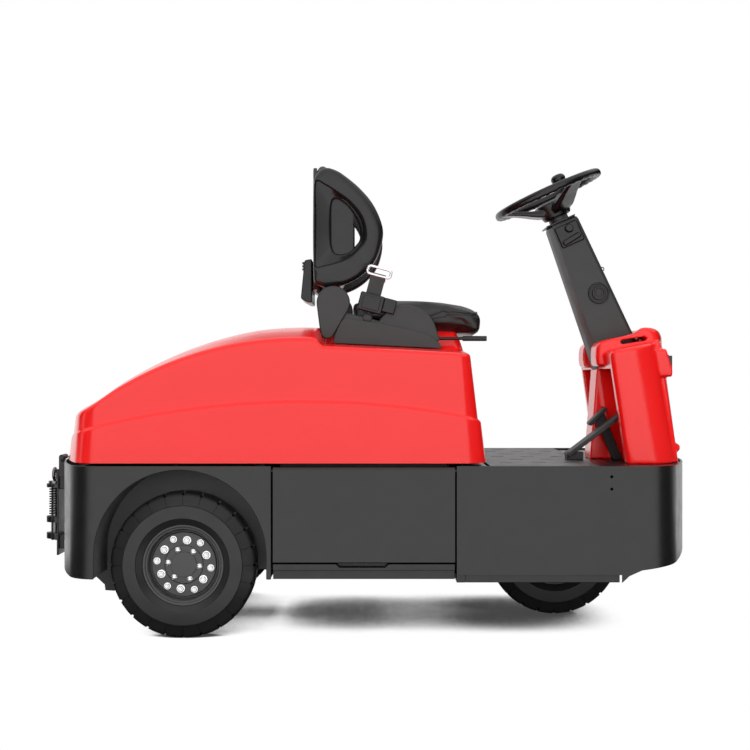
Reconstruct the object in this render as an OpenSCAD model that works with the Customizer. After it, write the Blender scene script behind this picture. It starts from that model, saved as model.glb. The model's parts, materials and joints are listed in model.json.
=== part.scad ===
// Electric baggage tug with seat, three wheels, tilting hood and tow hitch. Millimetres, +X forward, +Z up.

/* [Overall] */
// Length from the hitch flanges to the front bow
overall_len = 2022; // [2000:1:2080]
// Width over the side plates
body_w = 1000; // [970:1:1040]
// Height of the top rim of the chassis
rim_z = 503; // [498:1:508]
// Lower edge of the rear skirt
skirt_z = 180; // [165:1:195]
// Thickness of the chassis plates
plate_t = 6; // [4:1:8]

/* [Plan outline] */
// From the hitch end to the middle of the rear bow
hitch_reach = 89; // [85:1:105]
// Radius of the rear bow
rear_bow_r = 1150; // [1050:10:1300]
// Radius of the front bow
front_bow_r = 1130; // [1050:10:1300]
// Radius of the four plan corners
corner_r = 95; // [80:1:110]

/* [Wheels] */
// Outer diameter of the tyres
tyre_od = 424; // [412:1:430]
// Width of the tyres
tyre_w = 112; // [100:1:118]
// Diameter over the rim flange
rim_d = 234; // [224:1:244]
// Distance from rear axle to front axle
wheelbase = 1130; // [1115:1:1140]
// Distance between the middles of the rear tyres
rear_track = 790; // [776:1:800]
// From the rear bow to the rear axle
rear_overhang = 415; // [408:1:425]
// Radius of the wheel arch
arch_r = 246; // [240:1:248]
// Number of shoulder blocks on a tyre
tread_blocks = 24; // [18:1:28]

/* [Doors] */
// Width of the strip between the wheel arch and the door
strip_w = 14; // [13:1:18]
// Length of the battery door
door_len = 519; // [500:1:530]
// Lower edge of the battery door
door_z = 229; // [222:1:240]
// Thickness of the battery door
door_t = 20; // [16:1:24]
// Gap round the battery door
door_gap = 5; // [5:0.5:7]

/* [Accessory holes] */
// Diameter of the side holes
hole_d = 8.5; // [6:0.5:10]
// Distance between the two side holes
hole_pitch = 35; // [30:1:40]
// From the front axle to the side holes
hole_offset = 100; // [90:1:110]

/* [Hood] */
// Lower edge of the hood above the rim
hood_seam = 7; // [6:1:10]
// Inset of the hood from the chassis side
hood_inset = 15; // [12:1:20]
// Front edge of the hood at its foot
hood_front_x = 371; // [366:1:380]
// Height of the crest over the side edge
crest_z = 869; // [855:1:880]
// Radius of the crest seen from the side
crest_r = 1015; // [980:5:1100]
// Height of the flat pad under the seat
pad_z = 884; // [876:1:892]
// Wall of the hood
hood_t = 5; // [4:0.5:7]

/* [Seat] */
// Half width of the seat cushion
seat_hw = 235; // [225:1:245]
// Front end of the seat cushion
seat_front_x = 382; // [370:1:390]
// Top of the backrest
seat_top_z = 1432; // [1400:1:1440]

/* [Steering] */
// Lean of the steering column from upright
col_tilt = 23.8; // [22:0.1:26]
// Length of the column along its axis
col_len = 389; // [380:1:400]
// Diameter of the steering wheel
wheel_d = 365; // [350:1:380]

/* [Cowl] */
// Half width of the dash cowl at its foot
cowl_hw = 318; // [310:1:330]
// Height of the rear edge of the cowl's top
cowl_z = 835; // [828:1:842]

/* [Hitch] */
// Height of the tow eye's gap
hitch_z = 275; // [270:1:280]
// Width of the hitch flanges
hitch_w = 110; // [90:1:130]
// Diameter of the hitch pin
pin_d = 24; // [20:1:28]

/* [Hidden] */
hw = body_w / 2;
front_x = overall_len / 2;
rear_x = -front_x + hitch_reach;
rear_cx = rear_x + rear_bow_r;
front_cx = front_x - front_bow_r;
corner_y = hw - corner_r;
rear_corner_x = rear_cx - sqrt(pow(rear_bow_r - corner_r, 2) - pow(corner_y, 2));
front_corner_x = front_cx + sqrt(pow(front_bow_r - corner_r, 2) - pow(corner_y, 2));
rear_axle_x = rear_x + rear_overhang;
front_axle_x = rear_axle_x + wheelbase;
axle_z = tyre_od / 2;
arch_z = rim_z - 11 - arch_r;
rear_shell_x = rear_axle_x + arch_r + strip_w;
door_x0 = rear_shell_x + door_gap;
door_x1 = door_x0 + door_len;
door_top_z = rim_z - 3;
hinge_r = 11;
door_axis_y = hw - hinge_r;
door_axis_z = door_top_z - hinge_r;
front_shell_x = door_x1 + door_gap;
hood_z = rim_z + hood_seam;
hood_rear_x = rear_x + hood_inset - 2;
hood_hw = hw - hood_inset;
hood_axis_x = rear_x - 6;
hood_axis_z = rim_z + 5;
deck_t = 10;
hole_x = front_axle_x + hole_offset;
hole_z = rim_z - 30;
mat_t = 6;
mat_len = 310;
deck_z = rim_z - mat_t - 0.3;
bore_gap = 0.1;
seat_z = pad_z + 0.3;
$fn = 64;

// Helper curves and lofts
function arc(c, r, a0, a1, n, from, to) =
    [for (i = [from:to]) c + r * [cos(a0 + (a1 - a0) * i / n), sin(a0 + (a1 - a0) * i / n)]];
function mix(a, b, t) = a + (b - a) * t;
function clamp01(t) = max(0, min(1, t));
function spow(v, e) = sign(v) * pow(abs(v), e);
function cubic(a, b, c, d, t) = 0.5 * (2 * b + (c - a) * t + (2 * a - 5 * b + 4 * c - d) * t * t
    + (3 * b - a - 3 * c + d) * t * t * t);
function closed_curve(p, n) = let (m = len(p)) [for (i = [0:m - 1]) each [for (k = [0:n - 1])
    cubic(p[(i + m - 1) % m], p[i], p[(i + 1) % m], p[(i + 2) % m], k / n)]];
rear_a = atan2(corner_y, rear_cx - rear_corner_x);
front_a = atan2(corner_y, front_corner_x - front_cx);
function plan_pts(d) = concat(
    arc([front_cx, 0], front_bow_r - d, -front_a, front_a, 14, 0, 13),
    arc([front_corner_x, corner_y], corner_r - d, front_a, 90, 8, 0, 8),
    arc([rear_corner_x, corner_y], corner_r - d, 90, 180 - rear_a, 8, 0, 7),
    arc([rear_cx, 0], rear_bow_r - d, 180 - rear_a, 180 + rear_a, 14, 0, 13),
    arc([rear_corner_x, -corner_y], corner_r - d, 180 + rear_a, 270, 8, 0, 8),
    arc([front_corner_x, -corner_y], corner_r - d, 270, 360 - front_a, 8, 0, 7));

module plan(d) polygon(plan_pts(d));

module box(x0, x1, y0, y1, z0, z1) translate([x0, y0, z0]) cube([x1 - x0, y1 - y0, z1 - z0]);

module both() {
    children();
    mirror([0, 1, 0]) children();
}

// A profile drawn in X and Z, spread from y0 to y1
module side_profile(y0, y1) translate([0, y1, 0]) rotate([90, 0, 0]) linear_extrude(y1 - y0) children();

// A rod along Y
module rod_y(x, z, r, y0, y1) translate([x, y0, z]) rotate([-90, 0, 0]) cylinder(r = r, h = y1 - y0);

// A rod along X
module rod_x(y, z, r, x0, x1) translate([x0, y, z]) rotate([0, 90, 0]) cylinder(r = r, h = x1 - x0);

module column_frame() translate([811, 0, 884]) rotate([0, -col_tilt, 0]) children();

// Chassis plates
module band(x0, x1, z0, z1) {
    translate([0, 0, z0]) linear_extrude(z1 - z0) intersection() {
        difference() {
            plan(0);
            plan(plate_t);
        }
        translate([x0, -hw - 1]) square([x1 - x0, body_w + 2]);
    }
}

module arch_cut(r) {
    rod_y(rear_axle_x, arch_z, r, -hw - 5, hw + 5);
    box(rear_axle_x - r, rear_axle_x + r, -hw - 5, hw + 5, skirt_z - 20, arch_z);
}

module rear_shell() color([0.29, 0.29, 0.29]) {
    difference() {
        band(rear_x - 5, rear_shell_x, skirt_z, rim_z);
        arch_cut(arch_r);
    }
}

module wheel_well(s) {
    y0 = hw - plate_t - 190;
    y1 = hw - plate_t;
    mirror([0, s < 0 ? 1 : 0, 0]) intersection() {
        translate([0, 0, skirt_z]) linear_extrude(rim_z - skirt_z) plan(plate_t + 0.3);
        difference() {
            union() {
                rod_y(rear_axle_x, arch_z, arch_r + 4, y0, y1);
                box(rear_axle_x - arch_r - 4, rear_axle_x + arch_r + 4, y0, y1, skirt_z + 2, arch_z);
            }
            rod_y(rear_axle_x, arch_z, arch_r, y0 + 4, y1 + 1);
            box(rear_axle_x - arch_r, rear_axle_x + arch_r, y0 + 4, y1 + 1, skirt_z - 1, arch_z);
            rod_y(rear_axle_x, axle_z, 62, y0 - 1, y0 + 5);
            box(rear_axle_x - arch_r - 5, rear_axle_x + arch_r + 5, y0 - 1, y1 + 1, -10, skirt_z + 2);
        }
    }
}

module wheel_well_right() color([0.14, 0.14, 0.14]) wheel_well(-1);
module wheel_well_left() color([0.14, 0.14, 0.14]) wheel_well(1);

nose_x = front_axle_x + 130;
module front_shell() color([0.29, 0.29, 0.29]) {
    difference() {
        intersection() {
            band(front_shell_x, front_x + 5, skirt_z - 20, rim_z);
            side_profile(-hw - 1, hw + 1) polygon(concat(
                [[front_shell_x, rim_z], [front_shell_x, skirt_z + 13], [nose_x, skirt_z + 13],
                 [nose_x, skirt_z - 9]],
                [for (p = [[0.08, 10], [0.22, 26], [0.58, 40], [0.85, 56], [1.01, 66]])
                    [mix(nose_x, front_x, p[0]), skirt_z + p[1]]],
                [[front_x + 3, rim_z]]));
        }
        for (z = [hole_z, hole_z - hole_pitch]) rod_y(hole_x, z, hole_d / 2, -hw - 1, hw + 1);
    }
}

sill_y = hw - 12;
module side_sills() color([0.16, 0.16, 0.16]) {
    both() {
        difference() {
            box(door_x0, door_x1, hw - 40, hw - 0.5, door_z - door_gap - 18, door_z - door_gap);
            side_profile(hw - 30, hw + 1) polygon([
                [door_x0 + 175, door_z], [door_x0 + 190, door_z - door_gap - 10],
                [door_x0 + 320, door_z - door_gap - 10], [door_x0 + 335, door_z]]);
        }
        box(door_x0, door_x1, sill_y - 28, sill_y, skirt_z, door_z - door_gap - 18);
        box(front_shell_x + 24.3, nose_x - 6, hw - 40, hw - plate_t - 0.3, skirt_z - 9, skirt_z + 40);
    }
}

rail_y = 250;
rail_h = 70;
module main_frame() color([0.18, 0.18, 0.18]) {
    both() {
        box(rear_x + 52, front_shell_x + 20, rail_y, rail_y + 50, axle_z + 40, axle_z + 40 + rail_h);
        box(rear_axle_x - 40, rear_axle_x + 40, rail_y - 20, rail_y + 50, axle_z + 34, axle_z + 110);
        hinge_block(rear_shell_x - strip_w + 4.3, rear_shell_x);
        hinge_block(front_shell_x, front_shell_x + 24);
        box(rear_shell_x - strip_w + 4.3, rear_shell_x, rail_y + 10, hw - plate_t, skirt_z + 5, door_axis_z - 20);
    }
    both() side_profile(rail_y + 38, rail_y + 50) polygon([
        [rear_axle_x - 285, axle_z + 60], [rear_axle_x - 285, 163], [rear_axle_x - 255, 135],
        [rear_axle_x - 253, 118], [rear_axle_x - 225, 116], [rear_axle_x - 233, axle_z + 60]]);
    box(door_x0 - 1, front_shell_x + 1, -hw + 40.3, hw - 40.3, skirt_z, skirt_z + 12);
    box(front_shell_x, front_shell_x + 24, -hw + plate_t, hw - plate_t, skirt_z - 9, door_axis_z - 20);
    both() box(door_x0 + 40, door_x0 + 70, rail_y, rail_y + 50, skirt_z, axle_z + 50);
    both() box(door_x1 - 70, door_x1 - 40, rail_y, rail_y + 50, skirt_z, axle_z + 50);
    intersection() {
        translate([0, 0, axle_z]) linear_extrude(rim_z - 30 - axle_z) difference() {
            plan(plate_t + 0.3);
            plan(plate_t + 30);
        }
        box(rear_x - 1, rear_corner_x - 20, -rail_y - 50, rail_y + 50, 0, rim_z);
    }
}

module hinge_block(x0, x1) {
    difference() {
        box(x0, x1, hw - 40, hw - plate_t, door_axis_z - 30, door_axis_z + 9);
        rod_x(door_axis_y, door_axis_z, 3.5 + bore_gap, x0 - 1, x1 + 1);
    }
}

module floor_deck() color([0.2, 0.2, 0.2]) {
    difference() {
        union() {
            translate([0, 0, deck_z - deck_t]) linear_extrude(deck_t) intersection() {
                plan(plate_t);
                translate([front_shell_x + 24.5, -hw]) square([front_x, body_w]);
            }
            translate([front_axle_x, 0, deck_z - deck_t - 34]) cylinder(r = 62, h = 35);
            both() box(front_shell_x + 24.3, front_shell_x + 60, 60, 160, door_axis_z - 60, deck_z - deck_t + 1);
        }
        translate([front_axle_x, 0, deck_z - deck_t - 35]) cylinder(r = 30 + bore_gap, h = 42);
    }
}

module floor_mat() color([0.25, 0.25, 0.25]) {
    translate([0, 0, deck_z + 0.3]) linear_extrude(mat_t - 3) intersection() {
        plan(plate_t + 14);
        translate([hood_front_x + 8, -hw]) square([mat_len, body_w]);
    }
    for (i = [0:5]) for (j = [-6:6])
        translate([hood_front_x + 34 + i * 48, j * 66, deck_z + mat_t - 3])
            rotate([0, 0, (i + j) % 2 == 0 ? 45 : -45]) translate([-19, -5, 0]) cube([38, 10, 3.3]);
}

// Hood skin, lofted from cross sections along X
step_x0 = -126;
step_x1 = -102;
crest_x = -170;
hood_r0 = rear_bow_r - hood_inset;
hood_corner = 80;
function hood_half(x) =
    let (cx = hood_rear_x + hood_r0,
         cy = hood_hw - hood_corner,
         kx = cx - sqrt(pow(hood_r0 - hood_corner, 2) - cy * cy),
         ta = atan2(cy, cx - kx),
         tx = cx - hood_r0 * cos(ta))
    x < tx ? sqrt(max(0, hood_r0 * hood_r0 - pow(cx - x, 2)))
    : x < kx ? cy + sqrt(hood_corner * hood_corner - pow(kx - x, 2))
    : x > hood_front_x - 70 ? hood_hw - 70 + sqrt(max(0, 4900 - pow(x - hood_front_x + 70, 2)))
    : hood_hw;
function crest(x) = crest_z - crest_r + sqrt(crest_r * crest_r - pow(x - crest_x, 2));
function hood_edge(x) =
    x <= step_x0 ? max(crest(x), mix(635, 668, clamp01((x - hood_rear_x) / 133)))
    : x >= step_x1 ? mix(crest_z - 22, crest_z - 42, (x - step_x1) / 406)
    : mix(crest(step_x0), crest_z - 22, (x - step_x0) / (step_x1 - step_x0));
function hood_mid(x) =
    x <= step_x0 ? hood_edge(x) + mix(22, 42, clamp01((x - hood_rear_x) / 600))
    : x >= hood_front_x - 60 ? mix(pad_z, crest_z - 30, pow((x - hood_front_x + 60) / 60, 2))
    : x >= step_x1 ? pad_z
    : mix(crest(step_x0) + 42, pad_z, (x - step_x0) / (step_x1 - step_x0));
function crease(x) = min(685 - pow(x + 151, 2) / 5000, hood_edge(x) - 40);
function lean(x) = 0.1 * clamp01((-700 - x) / 208) - 0.085 * clamp01((x - 150) / 221);
function hood_section(x, t) =
    let (w = max(3, hood_half(x) - t), e = hood_edge(x) - t, m = hood_mid(x) - t, c = crease(x), er = 14,
         w1 = w * (1 - 4 / hood_hw), w2 = w * (1 - 12 / hood_hw), w3 = w * (1 - 18 / hood_hw),
         yt = max(2, w3 - min(er, w3 / 2)), yf = min(150, yt * 0.4),
         f = clamp01((x - step_x0) / (step_x1 - step_x0)),
         half = concat(
             [[w, hood_z], [w1, c - 3], [w2, c + 5], [w3, e - er]],
             [for (a = [30, 60, 90]) [w3 - (w3 - yt) * (1 - cos(a)), e - er + er * sin(a)]],
             [for (k = [[0.75, 5], [0.45, 10], [0.16, 15]])
                 [mix(yf, yt, k[0]), mix(mix(m, e, k[0] * k[0]), min(m - 1, e + k[1]), f)]],
             [[yf, m]]))
    [for (s = [-1, 1]) each [for (i = [0:len(half) - 1])
        let (p = half[s < 0 ? i : len(half) - 1 - i])
        [x + lean(x) * (p[1] - hood_z), s * p[0], p[1]]]];
function bow_x(y) = hood_rear_x + hood_r0 - sqrt(hood_r0 * hood_r0 - y * y);
hood_stations = concat(
    [for (y = [24:48:408]) bow_x(y)],
    [for (x = [-800, -765, -730, -690, -640, -580, -510, -440, -370, -300, -230, -170]) x],
    [step_x0, step_x1, -60, 0, 60, 120, 180, 240, hood_front_x - 70],
    [for (k = [0.35, 0.6, 0.8, 0.92, 1]) hood_front_x - 70 + 70 * k]);
function inner_x(x) = mix(hood_rear_x + hood_t * 1.6, hood_front_x - hood_t,
    (x - hood_stations[0]) / (hood_front_x - hood_stations[0]));

module hollow_loft(outer, inner) {
    n = len(outer);
    m = len(outer[0]);
    half = m / 2;
    pts = [for (g = [outer, inner]) each [for (s = g) each s]];
    function id(g, i, j) = g * n * m + i * m + j;
    function quad(a, b, c, d) = [[a, b, c], [a, c, d]];
    skin = [for (g = [0, 1]) each [for (i = [0:n - 2]) each [for (j = [0:m - 2]) each
        g == 0 ? quad(id(0, i, j), id(0, i, j + 1), id(0, i + 1, j + 1), id(0, i + 1, j))
               : quad(id(1, i, j), id(1, i + 1, j), id(1, i + 1, j + 1), id(1, i, j + 1))]]];
    caps = [for (j = [0:half - 2]) each concat(
        quad(id(0, 0, j), id(0, 0, m - 1 - j), id(0, 0, m - 2 - j), id(0, 0, j + 1)),
        quad(id(0, n - 1, j), id(0, n - 1, j + 1), id(0, n - 1, m - 2 - j), id(0, n - 1, m - 1 - j)),
        quad(id(1, 0, j), id(1, 0, j + 1), id(1, 0, m - 2 - j), id(1, 0, m - 1 - j)),
        quad(id(1, n - 1, j), id(1, n - 1, m - 1 - j), id(1, n - 1, m - 2 - j), id(1, n - 1, j + 1)))];
    rims = concat(
        [for (i = [0:n - 2]) each concat(
            quad(id(0, i, 0), id(0, i + 1, 0), id(1, i + 1, 0), id(1, i, 0)),
            quad(id(0, i, m - 1), id(1, i, m - 1), id(1, i + 1, m - 1), id(0, i + 1, m - 1)))],
        quad(id(0, 0, 0), id(1, 0, 0), id(1, 0, m - 1), id(0, 0, m - 1)),
        quad(id(0, n - 1, 0), id(0, n - 1, m - 1), id(1, n - 1, m - 1), id(1, n - 1, 0)));
    polyhedron(pts, concat(skin, caps, rims), convexity = 6);
}

module hood() color([0.88, 0.02, 0.02]) {
    hollow_loft([for (x = hood_stations) hood_section(x, 0)],
                [for (x = hood_stations) hood_section(inner_x(x), hood_t)]);
}

hinge_ys = [-150, 90];
module hood_hinge_leaves() color([0.12, 0.12, 0.12]) {
    for (y = hinge_ys) difference() {
        union() {
            rod_y(hood_axis_x, hood_axis_z, 8, y + 20.5, y + 39.5);
            box(hood_axis_x, hood_rear_x + 26, y + 20.5, y + 39.5, hood_z - 4.3, hood_z - 0.3);
        }
        rod_y(hood_axis_x, hood_axis_z, 4 + bore_gap, y, y + 60);
    }
}

module hood_hinge_bases() color([0.12, 0.12, 0.12]) {
    for (y = hinge_ys) {
        for (k = [0, 40]) rod_y(hood_axis_x, hood_axis_z, 8, y + k, y + k + 20);
        rod_y(hood_axis_x, hood_axis_z, 4, y, y + 60);
        translate([0, 0, hood_axis_z - 60]) linear_extrude(46) difference() {
            translate([hood_axis_x - 8, y]) square([40, 60]);
            plan(0);
        }
        for (k = [0, 40]) box(hood_axis_x - 8, hood_axis_x, y + k, y + k + 20, hood_axis_z - 20, hood_axis_z);
    }
}

// Seat
module seat_base() color([0.3, 0.3, 0.3]) {
    box(-60, 240, -seat_hw + 10, seat_hw - 10, seat_z, seat_z + 12);
    both() side_profile(seat_hw - 18, seat_hw + 4) polygon(concat(
        [[-80, 866], [-66, 960], [20, 940], [55, 930]],
        arc([144, 881], 96, 150, 10, 10, 0, 10),
        [[250, 866]]));
}

function pad_ring_x(x, w, z0, z1) = [for (i = [0:23]) let (a = i * 15)
    [x, w * spow(cos(a), 0.45), (z0 + z1) / 2 + (z1 - z0) / 2 * spow(sin(a), 0.5)]];
module seat_cushion() color([0.2, 0.2, 0.2]) {
    f = seat_front_x;
    b = seat_z + 12.4;
    ring_loft([for (k = [
        [-24, 190, b + 14, 984], [-16, 204, b + 3, 994], [20, 211, b, 1001], [110, 213, b, 1000],
        [f - 130, 213, b, 995], [f - 70, 211, b - 2, 985], [f - 28, 206, b - 8, 974],
        [f - 8, 198, b - 9, 966], [f, 184, b + 4, 948]])
        pad_ring_x(k[0], k[1] * seat_hw / 235, k[2], k[3])]);
}

function pad_ring_z(z, w, x0, x1) = [for (i = [0:23]) let (a = i * 15)
    [(x0 + x1) / 2 + (x1 - x0) / 2 * spow(cos(a), 0.6), w * spow(sin(a), 0.45), z]];
module seat_back() color([0.2, 0.2, 0.2]) {
    t = seat_top_z;
    ring_loft([for (k = [
        [1042, 150, -130, -62], [1050, 160, -136, -48], [1110, 166, -136, -34], [1200, 167, -136, -24],
        [1290, 166, -136, -34], [t - 60, 162, -136, -60], [t - 22, 150, -134, -78], [t - 6, 132, -128, -90],
        [t, 112, -120, -100]]) pad_ring_z(k[0], k[1], k[2], k[3])]);
}

// A padded ring between an outer and an inner outline
module padded_loop(outer, inner, y0, y1) {
    n = len(outer);
    m = 14;
    pts = [for (i = [0:n - 1]) each [for (j = [0:m - 1])
        let (a = j * 360 / m, p = mix(inner[i], outer[i], 0.5 + 0.5 * spow(cos(a), 0.6)))
        [p[0], (y0 + y1) / 2 + (y1 - y0) / 2 * spow(sin(a), 0.6), p[1]]]];
    polyhedron(pts, [for (i = [0:n - 1]) each [for (j = [0:m - 1])
        let (i2 = (i + 1) % n, j2 = (j + 1) % m, a = i * m + j, b = i2 * m + j, c = i2 * m + j2, d = i * m + j2)
        each [[a, b, c], [a, c, d]]]], convexity = 6);
}

wing_out = [[-140, 1048], [-141, 1150], [-140, 1260], [-136, 1360], [-108, 1401], [-50, 1381], [0, 1340],
    [42, 1291], [69, 1232], [73, 1185], [55, 1124], [15, 1076], [-40, 1044], [-100, 1032]];
wing_in = [[-84, 1156], [-86, 1190], [-86, 1240], [-84, 1285], [-70, 1312], [-40, 1308], [-12, 1284],
    [6, 1256], [15, 1224], [15, 1190], [4, 1166], [-14, 1147], [-42, 1135], [-70, 1137]];
module seat_wings() color([0.27, 0.27, 0.27]) {
    both() padded_loop(closed_curve(wing_out, 2), closed_curve(wing_in, 2), 172, seat_hw - 18);
}

function shell_x(y) = -149 + 9 * pow(y / 171, 2);
module seat_shell() color([0.14, 0.14, 0.14]) {
    intersection() {
        translate([0, 0, 1030]) linear_extrude(390) polygon(concat(
            [for (k = [-7:7]) [shell_x(k * 24.7), k * 24.7]],
            [for (k = [7:-1:-7]) [shell_x(k * 24.7) + 11, k * 24.7]]));
        translate([-200, 0, 0]) rotate([90, 0, 90]) linear_extrude(100) union() {
            translate([-174, 1060]) square([348, 280]);
            translate([-142, 1030]) square([284, 380]);
            for (y = [-132, 132]) translate([y, 1340]) circle(r = 40);
            for (y = [-142, 142]) translate([y, 1060]) circle(r = 30);
            translate([-132, 1340]) square([264, 40]);
        }
    }
}

module seat_pivots() color([0.26, 0.26, 0.26]) {
    both() {
        side_profile(seat_hw + 4.3, seat_hw + 20) hull() {
            translate([-75, 985]) circle(r = 50, $fn = 32);
            translate([-92, 895]) circle(r = 24, $fn = 32);
        }
        box(-110, -84, 160, seat_hw + 5, 985, 1031.6);
    }
}

module back_bracket() color([0.12, 0.12, 0.12]) {
    box(-188, -149.3, -110, 110, 991, 1130);
    for (y = [-90:30:90]) box(-178, -152, y - 4, y + 4, 1129, 1136);
}

module belt_retractor() color([0.12, 0.12, 0.12]) {
    translate([37, -seat_hw - 4.3, 982]) rotate([0, 15, 0]) translate([-38, -26, -28]) cube([76, 26, 56]);
    box(20, 54, -seat_hw - 12, -seat_hw - 4.3, 900, 975);
}

module belt() color([0.1, 0.1, 0.1]) {
    translate([37, -seat_hw - 4.3, 982]) rotate([0, 15, 0]) {
        translate([-23, -16, 28.3]) cube([46, 4, 56]);
        translate([-26, -18, 84.3]) cube([52, 8, 24]);
    }
}

module seat_lever() color([0.1, 0.1, 0.1]) {
    box(226, 240, -212, -198, 870, seat_z - 0.3);
    rod_x(-205, 876, 5, 230, 330);
    rod_x(-205, 876, 8, 318, 392);
}

// Dash cowl
function cowl_ring(hwid, xr, xf, bow, in) = concat(
    arc([xr + 20, -hwid + 20], 20 - in, 180, 270, 4, 0, 4),
    arc([xf - 50, -hwid + 50], 50 - in, 270, 345, 5, 0, 5),
    [for (k = [-0.85, -0.6, -0.3, 0, 0.3, 0.6, 0.85]) [xf + bow * (1 - k * k) - in, k * (hwid - 30)]],
    arc([xf - 50, hwid - 50], 50 - in, 15, 90, 5, 0, 5),
    arc([xr + 20, hwid - 20], 20 - in, 90, 180, 4, 0, 4));
function lift(pts, z, slope, x0) = [for (p = pts) [p[0], p[1], z + slope * (p[0] - x0)]];
function cowl_rear(z) = mix(804, 754, (z - rim_z) / (cowl_z - rim_z));
function cowl_front(z) = mix(950, 888, (z - rim_z) / (cowl_z - rim_z));
function cowl_half(z) = mix(cowl_hw, cowl_hw - 12, (z - rim_z) / (cowl_z - rim_z));

module ring_loft(rings) {
    n = len(rings);
    m = len(rings[0]);
    pts = [for (r = rings) each r];
    sides = [for (i = [0:n - 2]) each [for (j = [0:m - 1]) let (k = (j + 1) % m) each
        [[i * m + j, (i + 1) * m + j, (i + 1) * m + k], [i * m + j, (i + 1) * m + k, i * m + k]]]];
    polyhedron(pts, concat(sides, [[for (j = [0:m - 1]) j]], [[for (j = [0:m - 1]) n * m - 1 - j]]),
        convexity = 6);
}

function cowl_at(z, in, bow) = cowl_ring(cowl_half(z), cowl_rear(z), cowl_front(z), bow, in);
collar_hw = 186;
collar_prof = [[736, 793], [733, 830], [736, 858], [750, 871], [800, 881], [865, 895], [900, 912], [945, 915],
    [964, 900], [966, 860], [950, 800], [860, 786], [780, 786]];
function collar_ring(y, k) = [for (p = collar_prof) [mix(850, p[0], k), y, mix(845, p[1], k)]];
module dash_cowl() color([0.88, 0.02, 0.02]) {
    z1 = cowl_z - 12;
    x1 = cowl_rear(z1);
    difference() {
        union() {
            ring_loft([
                lift(cowl_at(rim_z, 0, 42), deck_z + 0.3, 0, 0),
                lift(cowl_at(z1, 0, 66), z1, 0.22, x1),
                lift(cowl_at(z1, 3, 66), z1 + 8, 0.22, x1),
                lift(cowl_at(z1, 11, 66), z1 + 12, 0.22, x1)]);
            ring_loft([for (k = [[-1, 0, 0.86], [-1, 4, 0.95], [-1, 14, 1], [1, 14, 1], [1, 4, 0.95], [1, 0, 0.86]])
                collar_ring(k[0] * (collar_hw - k[1]), k[2])]);
            side_profile(-60, 60) polygon([[734, deck_z + 0.3], [757, 800], [900, 800], [900, deck_z + 0.3]]);
            both() lamp_pod();
        }
        both() box(700, 880, 62, cowl_hw - 56, deck_z - 1, 782);
        both() box(720, 742, 186, cowl_hw - 56, 700, 900);
        column_frame() box(-110, 75, -74, 74, -70, 200);
        both() box(798, 880, 196, 224, 815, 930);
        both() box(930, 990, 166, 234, 775, 826);
    }
}

module lamp_pod() {
    translate([0, 200, 0]) hull() for (z = [770, 832]) for (y = [-40, 40])
        translate([880, y, z]) rotate([0, 90, 0]) cylinder(r = 12, h = 74 - (z - 770) * 0.3, $fn = 24);
}

module headlamps() color([0.1, 0.1, 0.1]) {
    both() {
        box(930.3, 946, 166.3, 233.7, 775.3, 825.7);
        for (i = [0:4]) box(945, 957, 170 + i * 12.8, 170 + i * 12.8 + 8, 778, 823);
    }
}

// Column and steering wheel
function col_ring(z, r, f, w) = concat(
    [[f, w - 14, z], [f - 5, w - 4, z], [f - 14, w, z]],
    [for (k = [1, 0.94, 0.8, 0.5, 0, -0.5, -0.8, -0.94, -1]) [r * (1 - 0.38 * pow(abs(k), 3)), k * w, z]],
    [[f - 14, -w, z], [f - 5, -w + 4, z], [f, -w + 14, z]]);
module steering_column() color([0.31, 0.31, 0.31]) {
    column_frame() {
        ring_loft([col_ring(-70, -96, 62, 65), col_ring(8, -89, 60, 65), col_ring(col_len - 12, -55, 50, 65),
            col_ring(col_len, -46, 44, 56)]);
        translate([-56, -62, col_len + 0]) cube([110, 124, 6]);
        translate([0, 0, col_len]) cylinder(r = 32, h = 36);
        translate([0, 0, col_len]) cylinder(r = 12, h = 78);
    }
}

module column_switch() color([0.25, 0.25, 0.25]) {
    column_frame() {
        translate([-30, -72, col_len - 78]) cube([68, 6.7, 62]);
        translate([8, -71, col_len - 36]) rotate([90, 0, 0]) cylinder(r = 13, h = 14);
        translate([11, -65.3, 149]) rotate([90, 0, 0]) difference() {
            cylinder(r = 34, h = 7);
            translate([0, 0, 3]) difference() {
                cylinder(r = 28, h = 5);
                cylinder(r = 19, h = 6);
            }
        }
    }
}

wheel_h = col_len + 116;
module steering_wheel() color([0.14, 0.14, 0.14]) {
    column_frame() {
        translate([0, 0, wheel_h]) rotate_extrude() translate([wheel_d / 2 - 14, 0]) circle(r = 14, $fn = 32);
        difference() {
            union() {
                translate([0, 0, col_len + 42]) cylinder(r1 = 42, r2 = 56, h = 40);
                translate([0, 0, col_len + 82]) cylinder(r1 = 56, r2 = 40, h = 12);
            }
            translate([0, 0, col_len + 41]) cylinder(r = 12 + bore_gap, h = 37.5);
        }
        for (a = [60, 180, 300]) rotate([0, 0, a]) {
            hull() {
                translate([40, 0, col_len + 72]) cube([14, 76, 20], center = true);
                translate([112, 0, wheel_h - 22]) cube([10, 60, 14], center = true);
            }
            hull() {
                translate([112, 0, wheel_h - 22]) cube([10, 60, 14], center = true);
                translate([wheel_d / 2 - 20, 0, wheel_h - 1]) cube([14, 50, 14], center = true);
            }
        }
    }
}

module spinner_knob() color([0.1, 0.1, 0.1]) {
    column_frame() rotate([0, 0, 62]) translate([wheel_d / 2 - 14, 0, wheel_h + 14.3]) rotate_extrude() polygon([
        [0, 0], [12, 0], [9, 8], [10, 18], [20, 26], [24, 33], [24, 39], [19, 44], [8, 46], [0, 46]]);
}

// Pedals
module accelerator_pedal() color([0.15, 0.15, 0.15]) {
    translate([645, -215, rim_z + 8]) rotate([0, -37, 0]) cube([206, 76, 12]);
    box(640, 690, -205, -149, rim_z + 0.5, rim_z + 24);
}

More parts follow.
